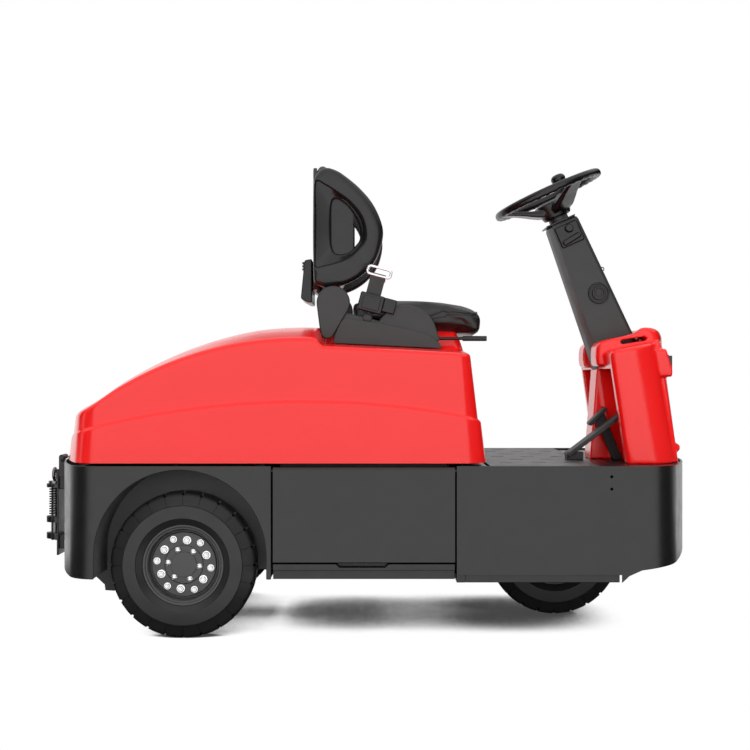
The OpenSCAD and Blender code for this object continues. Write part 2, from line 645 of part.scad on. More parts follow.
module brake_pedal() color([0.15, 0.15, 0.15]) {
    translate([728, -120, 604]) rotate([0, -45, 0]) cube([74, 50, 12]);
    side_profile(-106, -84) polygon([[742, 624], [768, 650], [830, deck_z + 0.3], [800, deck_z + 0.3]]);
}

// Hitch
hitch_x = rear_x - 38;
pin_x = -front_x + 26;
module hitch_bracket() color([0.14, 0.14, 0.14]) {
    difference() {
        union() {
            box(hitch_x, rear_x + 1, -hitch_w / 2, hitch_w / 2, skirt_z - 10, 464);
            for (z = [[403, 415], [hitch_z + 16, hitch_z + 36], [hitch_z - 37, hitch_z - 17]])
                box(-front_x, hitch_x + 1, -hitch_w / 2, hitch_w / 2, z[0], z[1]);
        }
        translate([0, 0, skirt_z - 11]) linear_extrude(300) plan(0);
        translate([pin_x, 0, 100]) cylinder(r = pin_d / 2 + 0.3, h = 400);
    }
}

module hitch_pin() color([0.5, 0.5, 0.5]) {
    translate([pin_x, 0, hitch_z - 42]) cylinder(d = pin_d, h = 415.3 - hitch_z + 42);
    translate([pin_x, 0, 415.3]) cylinder(r = 20, h = 8);
    translate([pin_x, 0, 445]) rotate([0, 90, 0]) rotate_extrude() translate([18, 0]) circle(r = 5, $fn = 24);
}

spring_z0 = hitch_z + 36.3;
spring_n = 13;
module hitch_spring() color([0.15, 0.15, 0.15]) {
    pitch = (403 - 0.3 - spring_z0 - 5) / (spring_n - 1);
    translate([pin_x, 0, spring_z0]) {
        for (i = [0:spring_n - 1]) translate([0, 0, 2.5 + i * pitch])
            rotate_extrude() translate([pin_d / 2 + 4, 0]) circle(r = 2.5, $fn = 16);
        difference() {
            translate([0, 0, 2.5]) cylinder(r = pin_d / 2 + 4.5, h = 403 - 5.3 - spring_z0);
            translate([0, 0, 2]) cylinder(r = pin_d / 2 + 2.5, h = 120);
        }
    }
}

// Running gear
module rear_axle() color([0.2, 0.2, 0.2]) {
    rod_y(rear_axle_x, axle_z, 80, -70, 70);
    rod_y(rear_axle_x, axle_z, 33, -rear_track / 2 + 62, rear_track / 2 - 62);
    rod_y(rear_axle_x, axle_z, 20, -rear_track / 2 - 10, rear_track / 2 + 10);
    both() box(rear_axle_x - 35, rear_axle_x + 35, rail_y - 20, rail_y + 40, axle_z, axle_z + 33.7);
}

module drive_motor() color([0.24, 0.24, 0.24]) {
    rod_x(0, axle_z + 20, 95, rear_axle_x + 80.3, door_x0 - 30);
}

module battery() color([0.16, 0.16, 0.16]) {
    box(door_x0 + 15, door_x1 - 15, -235, 235, skirt_z + 12.3, 790);
    box(door_x0 + 15, door_x1 - 15, -415, 415, 335, 700);
}

module tyre() {
    r = tyre_od / 2;
    q = rim_d / 2;
    h = tyre_w / 2;
    side = [[q - 5, h - 22], [q + 0.4, h - 19.5], [q + 0.6, h - 14], [q + 19, h - 3], [q + 33, h], [r - 40, h - 1],
        [r - 36, h - 3.5], [r - 12, h - 9], [r - 4, h - 15], [r, h - 24]];
    difference() {
        rotate([90, 0, 0]) rotate_extrude($fn = 96) polygon(concat(
            side, [for (i = [len(side) - 1:-1:0]) [side[i][0], -side[i][1]]]));
        for (i = [0:tread_blocks - 1]) rotate([0, i * 360 / tread_blocks, 0]) both()
            translate([r - 9, h - 30, -4]) cube([14, 40, 8]);
    }
}

module rim() {
    q = rim_d / 2;
    h = tyre_w / 2 - 15;
    rotate([90, 0, 0]) rotate_extrude($fn = 96) polygon([
        [20 + bore_gap, -24], [58, -24], [60, -2], [q - 20, 0], [q - 18, -h + 8], [q - 12, -h + 4], [q - 6, -h + 1],
        [q, -h], [q, -h + 4], [q - 5.4, -h + 6], [q - 12, -h + 16], [q - 12, h - 16], [q - 5.4, h - 6], [q, h - 4],
        [q, h], [q - 6, h - 1], [q - 8, h - 5], [q - 12, h - 5], [q - 16, h - 11], [q - 18, h - 28],
        [q - 22, h - 28], [q - 24, h - 21], [57, h - 21], [55, h - 18], [20 + bore_gap, h - 18]]);
}

// Lug nuts: two kinds on the disc and a ring on the hub
module nut(r, a, c, y) rotate([0, -a, 0]) translate([r, -y, 0]) rotate([90, 0, 0]) {
    cylinder(r = c, h = 5);
    cylinder(r = c * 0.62, h = 12, $fn = 24);
}
module nuts() {
    h = tyre_w / 2 - 15;
    for (k = [0:5]) {
        nut(71, 82.6 + 60 * k, 12.5, h - 20.8);
        nut(79, 112.6 + 60 * k, 10.5, h - 20.8);
        nut(45, 113 + 60 * k, 9, h - 17.8);
    }
}

module at_rear(s) translate([rear_axle_x, s * rear_track / 2, axle_z]) children();
module at_front() translate([front_axle_x, 0, axle_z]) children();

module rear_tyre_right() color([0.1, 0.1, 0.1]) at_rear(-1) tyre();
module rear_tyre_left() color([0.1, 0.1, 0.1]) at_rear(1) tyre();
module front_tyre() color([0.1, 0.1, 0.1]) at_front() tyre();
module rear_rim_right() color([0.6, 0.6, 0.6]) at_rear(-1) rim();
module rear_rim_left() color([0.6, 0.6, 0.6]) at_rear(1) mirror([0, 1, 0]) rim();
module front_rim() color([0.6, 0.6, 0.6]) at_front() rim();

module rear_nuts_right() color([0.85, 0.85, 0.85]) at_rear(-1) nuts();
module rear_nuts_left() color([0.85, 0.85, 0.85]) at_rear(1) mirror([0, 1, 0]) nuts();
module front_nuts() color([0.85, 0.85, 0.85]) at_front() nuts();

fork_z = tyre_od + 12;
module front_fork() color([0.2, 0.2, 0.2]) {
    translate([front_axle_x, 0, fork_z]) cylinder(r = 84, h = deck_z - deck_t - 40 - fork_z);
    translate([front_axle_x, 0, fork_z]) cylinder(r = 30, h = deck_z - 6 - fork_z);
    both() box(front_axle_x - 35, front_axle_x + 35, 66, 80, axle_z, fork_z + 1);
    both() rod_y(front_axle_x, axle_z, 35, 66, 80);
    rod_y(front_axle_x, axle_z, 20, -80, 80);
}

// Battery doors
module door(s) {
    mirror([0, s < 0 ? 1 : 0, 0]) {
        box(door_x0, door_x1, hw - door_t, hw, door_z, door_axis_z);
        rod_x(door_axis_y, door_axis_z, hinge_r, door_x0, door_x1);
        rod_x(door_axis_y, door_axis_z, 3.5, door_x0 - 13, door_x1 + 16);
    }
}

module battery_door_right() color([0.29, 0.29, 0.29]) door(-1);
module battery_door_left() color([0.29, 0.29, 0.29]) door(1);

main_frame();
rear_shell();
wheel_well_right();
wheel_well_left();
front_shell();
side_sills();
floor_deck();
floor_mat();
hood();
hood_hinge_leaves();
hood_hinge_bases();
seat_base();
seat_cushion();
seat_back();
seat_wings();
seat_shell();
seat_pivots();
back_bracket();
belt_retractor();
belt();
seat_lever();
dash_cowl();
headlamps();
steering_column();
column_switch();
steering_wheel();
spinner_knob();
accelerator_pedal();
brake_pedal();
hitch_bracket();
hitch_pin();
hitch_spring();
rear_axle();
drive_motor();
battery();
rear_tyre_right();
rear_tyre_left();
front_tyre();
rear_rim_right();
rear_rim_left();
front_rim();
rear_nuts_right();
rear_nuts_left();
front_nuts();
front_fork();
battery_door_right();
battery_door_left();
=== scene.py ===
"""Looks of an electric baggage tug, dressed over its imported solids. Metres, +X forward, +Z up."""

import json
import math
import bmesh
import bpy
from mathutils import Matrix, Vector, geometry
from mathutils.bvhtree import BVHTree


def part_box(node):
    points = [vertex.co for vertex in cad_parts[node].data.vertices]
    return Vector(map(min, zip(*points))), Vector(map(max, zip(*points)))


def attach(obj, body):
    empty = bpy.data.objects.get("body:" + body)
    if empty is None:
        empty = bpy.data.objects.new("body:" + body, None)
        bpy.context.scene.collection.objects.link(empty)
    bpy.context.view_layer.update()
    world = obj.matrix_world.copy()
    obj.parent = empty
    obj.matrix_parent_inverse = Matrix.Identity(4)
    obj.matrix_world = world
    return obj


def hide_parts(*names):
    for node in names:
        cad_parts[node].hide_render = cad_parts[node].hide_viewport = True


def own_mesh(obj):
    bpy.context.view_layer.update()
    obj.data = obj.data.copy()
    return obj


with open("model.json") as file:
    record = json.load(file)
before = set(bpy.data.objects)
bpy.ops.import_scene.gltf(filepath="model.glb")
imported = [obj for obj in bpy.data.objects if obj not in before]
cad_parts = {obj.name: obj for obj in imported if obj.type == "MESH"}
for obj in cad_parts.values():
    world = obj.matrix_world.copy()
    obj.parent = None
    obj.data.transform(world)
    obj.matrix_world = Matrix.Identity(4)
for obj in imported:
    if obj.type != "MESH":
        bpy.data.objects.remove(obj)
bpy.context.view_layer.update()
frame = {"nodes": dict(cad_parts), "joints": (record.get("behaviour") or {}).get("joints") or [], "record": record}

NODES = frame["nodes"]
BODY_OF = {n: b for b, members in frame["record"]["behaviour"]["bodies"].items() for n in members}
JOINTS = {j["name"]: j for j in frame["joints"]}
SLOT_OF = {s["node"]: s["material_slot"] for s in frame["record"]["subparts"]}
MM = 0.001


# Camera: level, on the right side, at the photograph's distance
CAMERA_X = 0.049
CAMERA_DISTANCE = 4.2
CAMERA_Z = 0.7485
CAMERA_LENS = 62.4
HORIZON_DROP = 5 / 750


def make_camera():
    cam = bpy.data.objects.new("camera", bpy.data.cameras.new("camera"))
    bpy.context.scene.collection.objects.link(cam)
    cam.data.lens = CAMERA_LENS
    cam.data.sensor_width = 36
    cam.data.shift_y = HORIZON_DROP
    cam.location = (CAMERA_X, -CAMERA_DISTANCE, CAMERA_Z)
    cam.rotation_euler = (math.radians(90), 0, 0)
    bpy.context.scene.camera = cam


# Shader helpers
def node(tree, kind, **values):
    made = tree.nodes.new(kind)
    for key, value in values.items():
        if hasattr(made, key):
            setattr(made, key, value)
        else:
            made.inputs[key.replace("_", " ")].default_value = value
    return made


def math_node(tree, operation, a, b=None):
    made = node(tree, "ShaderNodeMath", operation=operation)
    for socket, value in zip(made.inputs, (a, b)):
        if value is None:
            continue
        if isinstance(value, (int, float)):
            socket.default_value = value
        else:
            tree.links.new(value, socket)
    return made.outputs[0]


def ramp_node(tree, value, low, high, to_low=0.0, to_high=1.0):
    made = node(tree, "ShaderNodeMapRange", interpolation_type="SMOOTHSTEP", From_Min=low, From_Max=high,
                To_Min=to_low, To_Max=to_high)
    tree.links.new(value, made.inputs["Value"])
    return made.outputs[0]


def switch_node(tree, factor, off, on):
    made = node(tree, "ShaderNodeMix", data_type="FLOAT")
    tree.links.new(factor, made.inputs["Factor"])
    for socket, value in ((made.inputs["A"], off), (made.inputs["B"], on)):
        if isinstance(value, (int, float)):
            socket.default_value = value
        else:
            tree.links.new(value, socket)
    return made.outputs[0]


# Studio: a pale dome that is brighter on the camera's side. Its reflection is a softbox between dark flags,
# with a strip light to the rear and white above and behind.
DOME = 0.9
KEY = 1.7
SOFTBOX = 1.5
STRIP = 1.0


def make_world():
    world = bpy.data.worlds.new("studio")
    bpy.context.scene.world = world
    world.use_nodes = True
    world.cycles.sampling_method = "NONE"
    t = world.node_tree
    t.nodes.clear()
    parts = node(t, "ShaderNodeSeparateXYZ")
    t.links.new(node(t, "ShaderNodeTexCoord").outputs["Generated"], parts.inputs[0])
    x, y, z = parts.outputs
    near = math_node(t, "MAXIMUM", math_node(t, "MULTIPLY", y, -1.0), 0.0)
    rearward = ramp_node(t, math_node(t, "MULTIPLY", x, -1.0), 0.05, 0.3)
    strip = ramp_node(t, math_node(t, "ABSOLUTE", y), 0.05, 0.17, STRIP, 0.0)
    far_rear = ramp_node(t, y, 0.5, 0.7)
    sides = math_node(t, "MULTIPLY", rearward, math_node(t, "MAXIMUM", strip, far_rear))
    behind = math_node(t, "MAXIMUM", ramp_node(t, y, 0.9, 0.97), ramp_node(t, z, 0.3, 0.7))
    softbox = ramp_node(t, near, 0.7, 0.86, 0.0, SOFTBOX)
    mirrored = math_node(t, "MAXIMUM", softbox, math_node(t, "MAXIMUM", sides, behind))
    key = math_node(t, "MULTIPLY", math_node(t, "POWER", near, 2.0), KEY)
    rays = node(t, "ShaderNodeLightPath")
    lit = switch_node(t, rays.outputs["Is Glossy Ray"], math_node(t, "ADD", key, DOME), mirrored)
    shader = node(t, "ShaderNodeBackground")
    t.links.new(switch_node(t, rays.outputs["Is Camera Ray"], lit, 1.0), shader.inputs["Strength"])
    t.links.new(shader.outputs[0], node(t, "ShaderNodeOutputWorld").inputs[0])
    shader.inputs["Color"].default_value = (1, 1, 1, 1)


FLOOR_HALF = 60.0
SHADOW_REACH = 0.8
SHADOW_RANGE = (0.11, 0.23)
SHADOW_DARK = 0.06
SHADOW_RAYS = 48
REAR_GLOW = 1.1
FLOOR_BOUNCE = 0.3


def make_floor():
    """A white floor, darker under the vehicle. In reflections it is the softbox ahead and white behind."""
    corners = [(x * FLOOR_HALF, y * FLOOR_HALF, 0) for x, y in ((-1, -1), (1, -1), (1, 1), (-1, 1))]
    floor = add_object("floor", mesh_of("floor", corners, [(0, 1, 2, 3)]))
    m = bpy.data.materials.new("floor")
    m.use_nodes = True
    t = m.node_tree
    t.nodes.clear()
    parts = node(t, "ShaderNodeSeparateXYZ")
    t.links.new(node(t, "ShaderNodeTexCoord").outputs["Object"], parts.inputs[0])
    ahead = math_node(t, "MULTIPLY", parts.outputs[1], -1.0)
    out = math_node(t, "SUBTRACT", math_node(t, "ABSOLUTE", parts.outputs[0]), 1.05)
    spread = math_node(t, "DIVIDE", out, math_node(t, "MAXIMUM", math_node(t, "SUBTRACT", ahead, 0.5), 0.05))
    front = math_node(t, "MULTIPLY", ramp_node(t, spread, 0.65, 1.0, SOFTBOX, 0.0),
                      ramp_node(t, ahead, 0.6, 1.0))
    level = math_node(t, "MAXIMUM", front, ramp_node(t, parts.outputs[1], 0.6, 1.2, 0.0, REAR_GLOW))
    glow = node(t, "ShaderNodeEmission")
    t.links.new(level, glow.inputs["Strength"])
    cover = node(t, "ShaderNodeAmbientOcclusion", Distance=SHADOW_REACH)
    cover.samples = SHADOW_RAYS
    seen = node(t, "ShaderNodeEmission")
    t.links.new(ramp_node(t, cover.outputs["AO"], *SHADOW_RANGE, SHADOW_DARK, 1.0), seen.inputs["Strength"])
    bounce = node(t, "ShaderNodeBsdfDiffuse", Color=(FLOOR_BOUNCE, FLOOR_BOUNCE, FLOOR_BOUNCE, 1))
    rays = node(t, "ShaderNodeLightPath")
    last = bounce
    for flag, other in (("Is Glossy Ray", glow), ("Is Camera Ray", seen)):
        pick = node(t, "ShaderNodeMixShader")
        t.links.new(rays.outputs[flag], pick.inputs[0])
        t.links.new(last.outputs[0], pick.inputs[1])
        t.links.new(other.outputs[0], pick.inputs[2])
        last = pick
    t.links.new(last.outputs[0], node(t, "ShaderNodeOutputMaterial").inputs[0])
    floor.data.materials.append(m)


# Materials
def surface(name, base, rough, tone=0.12, tone_scale=6.0, rough_swing=0.05, grain=(), **sockets):
    """A principled surface with noise in colour, roughness and bump. grain lists (scale, height in mm)."""
    m = bpy.data.materials.new(name)
    m.use_nodes = True
    t = m.node_tree
    shader = t.nodes["Principled BSDF"]
    for key, value in sockets.items():
        shader.inputs[key.replace("_", " ")].default_value = value
    where = node(t, "ShaderNodeTexCoord").outputs["Object"]
    clouds = node(t, "ShaderNodeTexNoise", Scale=tone_scale, Detail=5.0)
    t.links.new(where, clouds.inputs["Vector"])
    tint = node(t, "ShaderNodeMix", data_type="RGBA")
    tint.inputs["A"].default_value = (*[c * (1 - tone) for c in base], 1)
    tint.inputs["B"].default_value = (*[min(1, c * (1 + tone)) for c in base], 1)
    t.links.new(clouds.outputs["Fac"], tint.inputs["Factor"])
    t.links.new(tint.outputs["Result"], shader.inputs["Base Color"])
    smears = node(t, "ShaderNodeTexNoise", Scale=tone_scale * 3.7, Detail=6.0, Roughness=0.6)
    t.links.new(where, smears.inputs["Vector"])
    t.links.new(ramp_node(t, smears.outputs["Fac"], 0.2, 0.8, rough - rough_swing, rough + rough_swing),
                shader.inputs["Roughness"])
    bump = None
    for scale, height in grain:
        fine = node(t, "ShaderNodeTexNoise", Scale=scale, Detail=3.0)
        t.links.new(where, fine.inputs["Vector"])
        layer = node(t, "ShaderNodeBump", Strength=1.0, Distance=height * MM)
        t.links.new(fine.outputs["Fac"], layer.inputs["Height"])
        if bump:
            t.links.new(bump.outputs[0], layer.inputs["Normal"])
        bump = layer
    if bump:
        t.links.new(bump.outputs[0], shader.inputs["Normal"])
    return m


def grey(level):
    return (level, level, level)


def make_materials():
    return {m.name.split(".")[0]: m for m in (
        surface("red_paint", (0.88, 0.008, 0.008), 0.2, tone=0.03, rough_swing=0.03,
                grain=((45, 0.03), (500, 0.006)), Coat_Weight=0.1, Coat_Roughness=0.06),
        surface("chassis_paint", grey(0.0105), 0.32, grain=((300, 0.03), (60, 0.02))),
        # Painted light: the wheel wells' grey is the chassis grey made far lighter, to brighten their shaded
        # inside.
        surface("well_grey_painted_light", grey(0.11), 0.6, grain=((300, 0.03),)),
        surface("thread", grey(0.035), 0.7, grain=((900, 0.05),)),
        surface("black_steel", grey(0.009), 0.38, grain=((240, 0.08),)),
        surface("deck_rubber", grey(0.05), 0.42, grain=((300, 0.1),)),
        surface("lamp_housing", grey(0.02), 0.25, grain=((200, 0.03),)),
        surface("column_plastic", (0.024, 0.024, 0.0235), 0.38, grain=((700, 0.04), (90, 0.03))),
        surface("black_plastic", grey(0.005), 0.3, grain=((650, 0.05),)),
        surface("pedal_rubber", grey(0.014), 0.5, grain=((300, 0.1),)),
        surface("cast_housing", grey(0.03), 0.5, grain=((120, 0.3),)),
        surface("battery_case", grey(0.02), 0.45, grain=((200, 0.1),)),
        surface("seat_plastic", grey(0.022), 0.36, grain=((800, 0.05),)),
        surface("seat_vinyl", grey(0.010), 0.34, grain=((420, 0.1), (70, 0.12))),
        surface("webbing", grey(0.03), 0.6, grain=((900, 0.2),)),
        surface("knob_plastic", grey(0.006), 0.16, grain=((300, 0.01),)),
        surface("pin_steel", grey(0.25), 0.35, Metallic=1.0, grain=((200, 0.05),)),
        surface("tyre_rubber", grey(0.014), 0.44, grain=((350, 0.1), (30, 0.2))),
        surface("rim_paint", grey(0.045), 0.34, grain=((260, 0.05),)),
        surface("zinc_steel", grey(0.92), 0.24, tone=0.05, Metallic=0.75, grain=((300, 0.02),)),
    )}


# Mesh helpers
def add_object(name, mesh):
    obj = bpy.data.objects.new(name, mesh)
    bpy.context.scene.collection.objects.link(obj)
    return obj


def mesh_of(name, verts, faces):
    mesh = bpy.data.meshes.new(name)
    mesh.from_pydata([tuple(v) for v in verts], [], faces)
    return mesh


def weld(bm, reach=1e-6):
    bmesh.ops.remove_doubles(bm, verts=bm.verts, dist=reach)
    bmesh.ops.dissolve_degenerate(bm, edges=bm.edges, dist=reach)
    bmesh.ops.recalc_face_normals(bm, faces=bm.faces)


def round_edges(bm, width, segments=2, angle=28):
    sharp = [e for e in bm.edges if len(e.link_faces) == 2 and e.calc_face_angle(0) > math.radians(angle)]
    bmesh.ops.bevel(bm, geom=sharp, offset=width, segments=segments, profile=0.5, affect="EDGES",
                    clamp_overlap=True)


def from_bmesh(name, bm):
    mesh = bpy.data.meshes.new(name)
    bm.to_mesh(mesh)
    bm.free()
    return add_object(name, mesh)


def place(obj, body, slot, replaced=(), smooth=40, material=None):
    """Gives a piece its finish, its body and the solids that it stands for."""
    obj.data.materials.clear()
    obj.data.materials.append(MATERIALS[material or slot])
    obj.data.shade_smooth()
    obj.data.set_sharp_from_angle(angle=math.radians(smooth))
    settle(obj, "WEIGHTED_NORMAL", keep_sharp=True)
    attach(obj, body)
    if replaced:
        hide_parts(*replaced)
    return obj


def welded(name):
    """A solid's mesh as a bmesh with its doubled points joined."""
    bm = bmesh.new()
    bm.from_mesh(NODES[name].data)
    weld(bm, 1e-5)
    return bm


def solid_copy(name):
    """The solid's mesh as a welded bmesh with its flat faces whole."""
    bm = welded(name)
    bmesh.ops.dissolve_limit(bm, angle_limit=math.radians(0.5), verts=bm.verts, edges=bm.edges)
    return bm


def dress(name, width=0.002, segments=2, material=None, smooth=40):
    """A copy of a solid with rounded edges stands for it."""
    bm = solid_copy(name)
    round_edges(bm, width, segments)
    obj = from_bmesh(name + "_skin", bm)
    return place(obj, BODY_OF[name], SLOT_OF[name], (name,), smooth, material)


def settle(obj, kind, **settings):
    """Applies one modifier to a piece."""
    mod = obj.modifiers.new(kind.lower(), kind)
    for key, value in settings.items():
        setattr(mod, key, value)
    made = bpy.data.meshes.new_from_object(obj.evaluated_get(bpy.context.evaluated_depsgraph_get()))
    obj.modifiers.clear()
    obj.data = made


def remesh(obj, voxel):
    settle(obj, "REMESH", mode="VOXEL", voxel_size=voxel)


def relax(obj, times):
    settle(obj, "SMOOTH", factor=0.5, iterations=times)


def thin_out(obj, share):
    settle(obj, "DECIMATE", ratio=share)


def loft(rings, closed=True, caps=True):
    """Points and faces of a skin through rings of equal length."""
    n, m = len(rings), len(rings[0])
    verts = [p for ring in rings for p in ring]
    wrap = m if closed else m - 1
    faces = [(i * m + j, i * m + (j + 1) % m, (i + 1) * m + (j + 1) % m, (i + 1) * m + j)
             for i in range(n - 1) for j in range(wrap)]
    if caps:
        faces += [tuple(range(m))[::-1], tuple((n - 1) * m + j for j in range(m))]
    return verts, faces


def shape(verts, faces, reach=1e-6):
    """A welded bmesh of points and faces."""
    bm = bmesh.new()
    bm.from_mesh(mesh_of("shape", verts, faces))
    weld(bm, reach)
    return bm


def skin(name, verts, faces, reach=1e-6):
    return from_bmesh(name, shape(verts, faces, reach))


def around(radius, angle, height):
    """A point at a radius and an angle about Z."""
    return Vector((radius * math.cos(angle), radius * math.sin(angle), height))


# The least radius of a turned profile, on its axis
AXIS = 0.0001


def revolve(profile, where, segments=96):
    """Points and faces of a closed profile of (radius, height) turned about the Z axis of a frame."""
    rings = [[where @ around(r, a, h) for r, h in profile]
             for a in (2 * math.pi * i / segments for i in range(segments + 1))]
    return loft(rings, closed=True, caps=False)


def merged(*parts):
    """Several lists of points and faces as one."""
    verts, faces = [], []
    for v, f in parts:
        faces += [tuple(i + len(verts) for i in face) for face in f]
        verts += v
    return verts, faces


def prism(outline, y0, y1, bevel, segments=3):
    """A plate whose outline is given in X and Z, with rounded edges, as a bmesh."""
    bm = bmesh.new()
    face = bm.faces.new([bm.verts.new((x, y0, z)) for x, z in outline])
    made = bmesh.ops.extrude_face_region(bm, geom=[face])["geom"]
    bmesh.ops.translate(bm, verts=[g for g in made if isinstance(g, bmesh.types.BMVert)], vec=(0, y1 - y0, 0))
    weld(bm)
    if bevel:
        round_edges(bm, bevel, segments)
    return bm


def rounded(points, radius, steps=6):
    """A polygon's points with each corner turned into an arc."""
    out = []
    count = len(points)
    for i, p in enumerate(points):
        p = Vector(p)
        before = Vector(points[i - 1]) - p
        after = Vector(points[(i + 1) % count]) - p
        reach = min(radius, before.length * 0.45, after.length * 0.45)
        a, b = p + before.normalized() * reach, p + after.normalized() * reach
        for k in range(steps + 1):
            t = k / steps
            out.append(tuple((1 - t) ** 2 * a + 2 * t * (1 - t) * p + t * t * b))
    return out


def tube(path, radius, sides=12, closed=False):
    """Points and faces of a round tube along a path."""
    path = [Vector(p) for p in path]
    count = len(path)
    rings = []
    side = None
    for i, p in enumerate(path):
        ahead = path[(i + 1) % count] if closed or i + 1 < count else p
        back = path[i - 1] if closed or i else p
        way = (ahead - back).normalized()
        if side is None:
            side = way.orthogonal().normalized()
        side = (side - way * side.dot(way)).normalized()
        up = way.cross(side)
        rings.append([p + radius * (math.cos(a) * side + math.sin(a) * up)
                      for a in (2 * math.pi * k / sides for k in range(sides))])
    if closed:
        rings.append(rings[0])
    return loft(rings, True, not closed)


def clamp01(t):
    return max(0.0, min(1.0, t))


def mix(a, b, t):
    return a + (b - a) * t


def metres(points):
    return [tuple(c * MM for c in p) for p in points]


def arc(centre, radius, start, end, steps):
    """Points on an arc, with angles in degrees."""
    turns = [math.radians(mix(start, end, i / steps)) for i in range(steps + 1)]
    return [(centre[0] + radius * math.cos(a), centre[1] + radius * math.sin(a)) for a in turns]


def side_turn(outward):
    """Turns Z to point out of the vehicle's side."""
    return Matrix.Rotation(math.radians(-90 * outward), 4, "X")


def facing(x, y, z, outward):
    """A frame at a place in millimetres with Z pointing out of the vehicle's side."""
    return Matrix.Translation(metres([(x, y, z)])[0]) @ side_turn(outward)


SIDES = ((-1, "right"), (1, "left"))


# Hood: sections along X, bowed at the rear, crowned, creased along the sides, with a pedestal under the seat
HOOD_LOW, HOOD_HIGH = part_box("hood")
HOOD_REAR, HOOD_FRONT, HOOD_FOOT = HOOD_LOW.x, HOOD_HIGH.x, HOOD_LOW.z
HOOD_HALF = HOOD_HIGH.y
HOOD_PAD = HOOD_HIGH.z
REAR_BOW = 1.135
REAR_CORNER = 0.08
FRONT_CORNER = 0.07
CREST_X, CREST_Z, CREST_R = HOOD_FRONT - 0.541, 0.869, 1.015
STEP_0, STEP_1 = HOOD_FRONT - 0.497, HOOD_FRONT - 0.473
EDGE_R = 0.014
PEDESTAL_HALF = 0.15
HOOD_WALL = 0.005
CREASE_TOP, CREASE_X, CREASE_FALL = 0.685, -0.151, 5.0
REAR_LEAN, REAR_LEAN_FROM, REAR_LEAN_RUN = 0.1, -0.7, 0.208
FRONT_LEAN, FRONT_LEAN_FROM, FRONT_LEAN_RUN = 0.085, 0.15, 0.221
ROOF_SHARES = (0.12, 0.25, 0.38, 0.48, 0.55, 0.6, 0.64, 0.68, 0.73, 0.8, 0.9, 1)


def hood_bow(y):
    return HOOD_REAR + REAR_BOW - math.sqrt(REAR_BOW ** 2 - y * y)


def hood_plan():
    """Half the foot's outline, from the middle of the rear bow to the end of the front corner."""
    cx, cy = HOOD_REAR + REAR_BOW, HOOD_HALF - REAR_CORNER
    kx = cx - math.sqrt((REAR_BOW - REAR_CORNER) ** 2 - cy * cy)
    turn = math.atan2(cy, cx - kx)
    out = [(cx - REAR_BOW * math.cos(turn * t), REAR_BOW * math.sin(turn * t)) for t in
           [0.004 + 0.996 * i / 36 for i in range(36)]]
    out += [(kx - REAR_CORNER * math.cos(a), cy + REAR_CORNER * math.sin(a)) for a in
            [mix(turn, math.pi / 2, i / 14) for i in range(15)]]
    start, end = kx, HOOD_FRONT - FRONT_CORNER
    out += [(mix(start, STEP_0 - 0.006, i / 44), HOOD_HALF) for i in range(1, 45)]
    out += [(mix(STEP_0 - 0.006, STEP_1 + 0.006, i / 8), HOOD_HALF) for i in range(1, 9)]
    out += [(mix(STEP_1 + 0.006, end, i / 22), HOOD_HALF) for i in range(1, 23)]
    out += [(end + FRONT_CORNER * math.sin(a), HOOD_HALF - FRONT_CORNER * (1 - math.cos(a))) for a in
            [math.pi / 2 * i / 22 for i in range(1, 23)]]
    return out


def hood_crest(x):
    return CREST_Z - CREST_R + math.sqrt(CREST_R ** 2 - (x - CREST_X) ** 2)


def hood_step(x):
    t = clamp01((x - STEP_0) / (STEP_1 - STEP_0))
    return t * t * (3 - 2 * t)


def hood_edge(x):
    low = mix(0.635, 0.668, clamp01((x - HOOD_REAR) / 0.133))
    rear = math.log(math.exp(hood_crest(min(x, STEP_1)) * 90) + math.exp((low - 0.006) * 90)) / 90
    front = mix(CREST_Z - 0.022, CREST_Z - 0.042, (x - STEP_1) / 0.406)
    return mix(rear, front, hood_step(x))


def hood_middle(x):
    rear = hood_edge(min(x, STEP_0)) + mix(0.022, 0.042, clamp01((x - HOOD_REAR) / 0.6))
    front = mix(HOOD_PAD, CREST_Z - 0.03, clamp01((x - HOOD_FRONT + 0.06) / 0.06) ** 2)
    return mix(rear, front, hood_step(x))


def hood_roof(x, y, half):
    edge, middle = hood_edge(x), hood_middle(x)
    flat = min(PEDESTAL_HALF, half * 0.4)
    k = clamp01((abs(y) - flat) / max(half - flat, 1e-6))
    crown = mix(middle, edge, k * k)
    rise = clamp01((0.16 - k) / 0.16)
    ledge = edge + 0.018 * (1 - k) + (middle - edge - 0.018) * rise * rise * (3 - 2 * rise)
    return mix(crown, ledge, hood_step(x))


def hood_inset(z, crease):
    soft = clamp01((z - crease + 0.005) / 0.012)
    below = 0.004 * clamp01((z - HOOD_FOOT) / max(crease - HOOD_FOOT, 0.01))
    above = 0.006 * clamp01((z - crease) / 0.18)
    return below + 0.008 * soft * soft * (3 - 2 * soft) + above


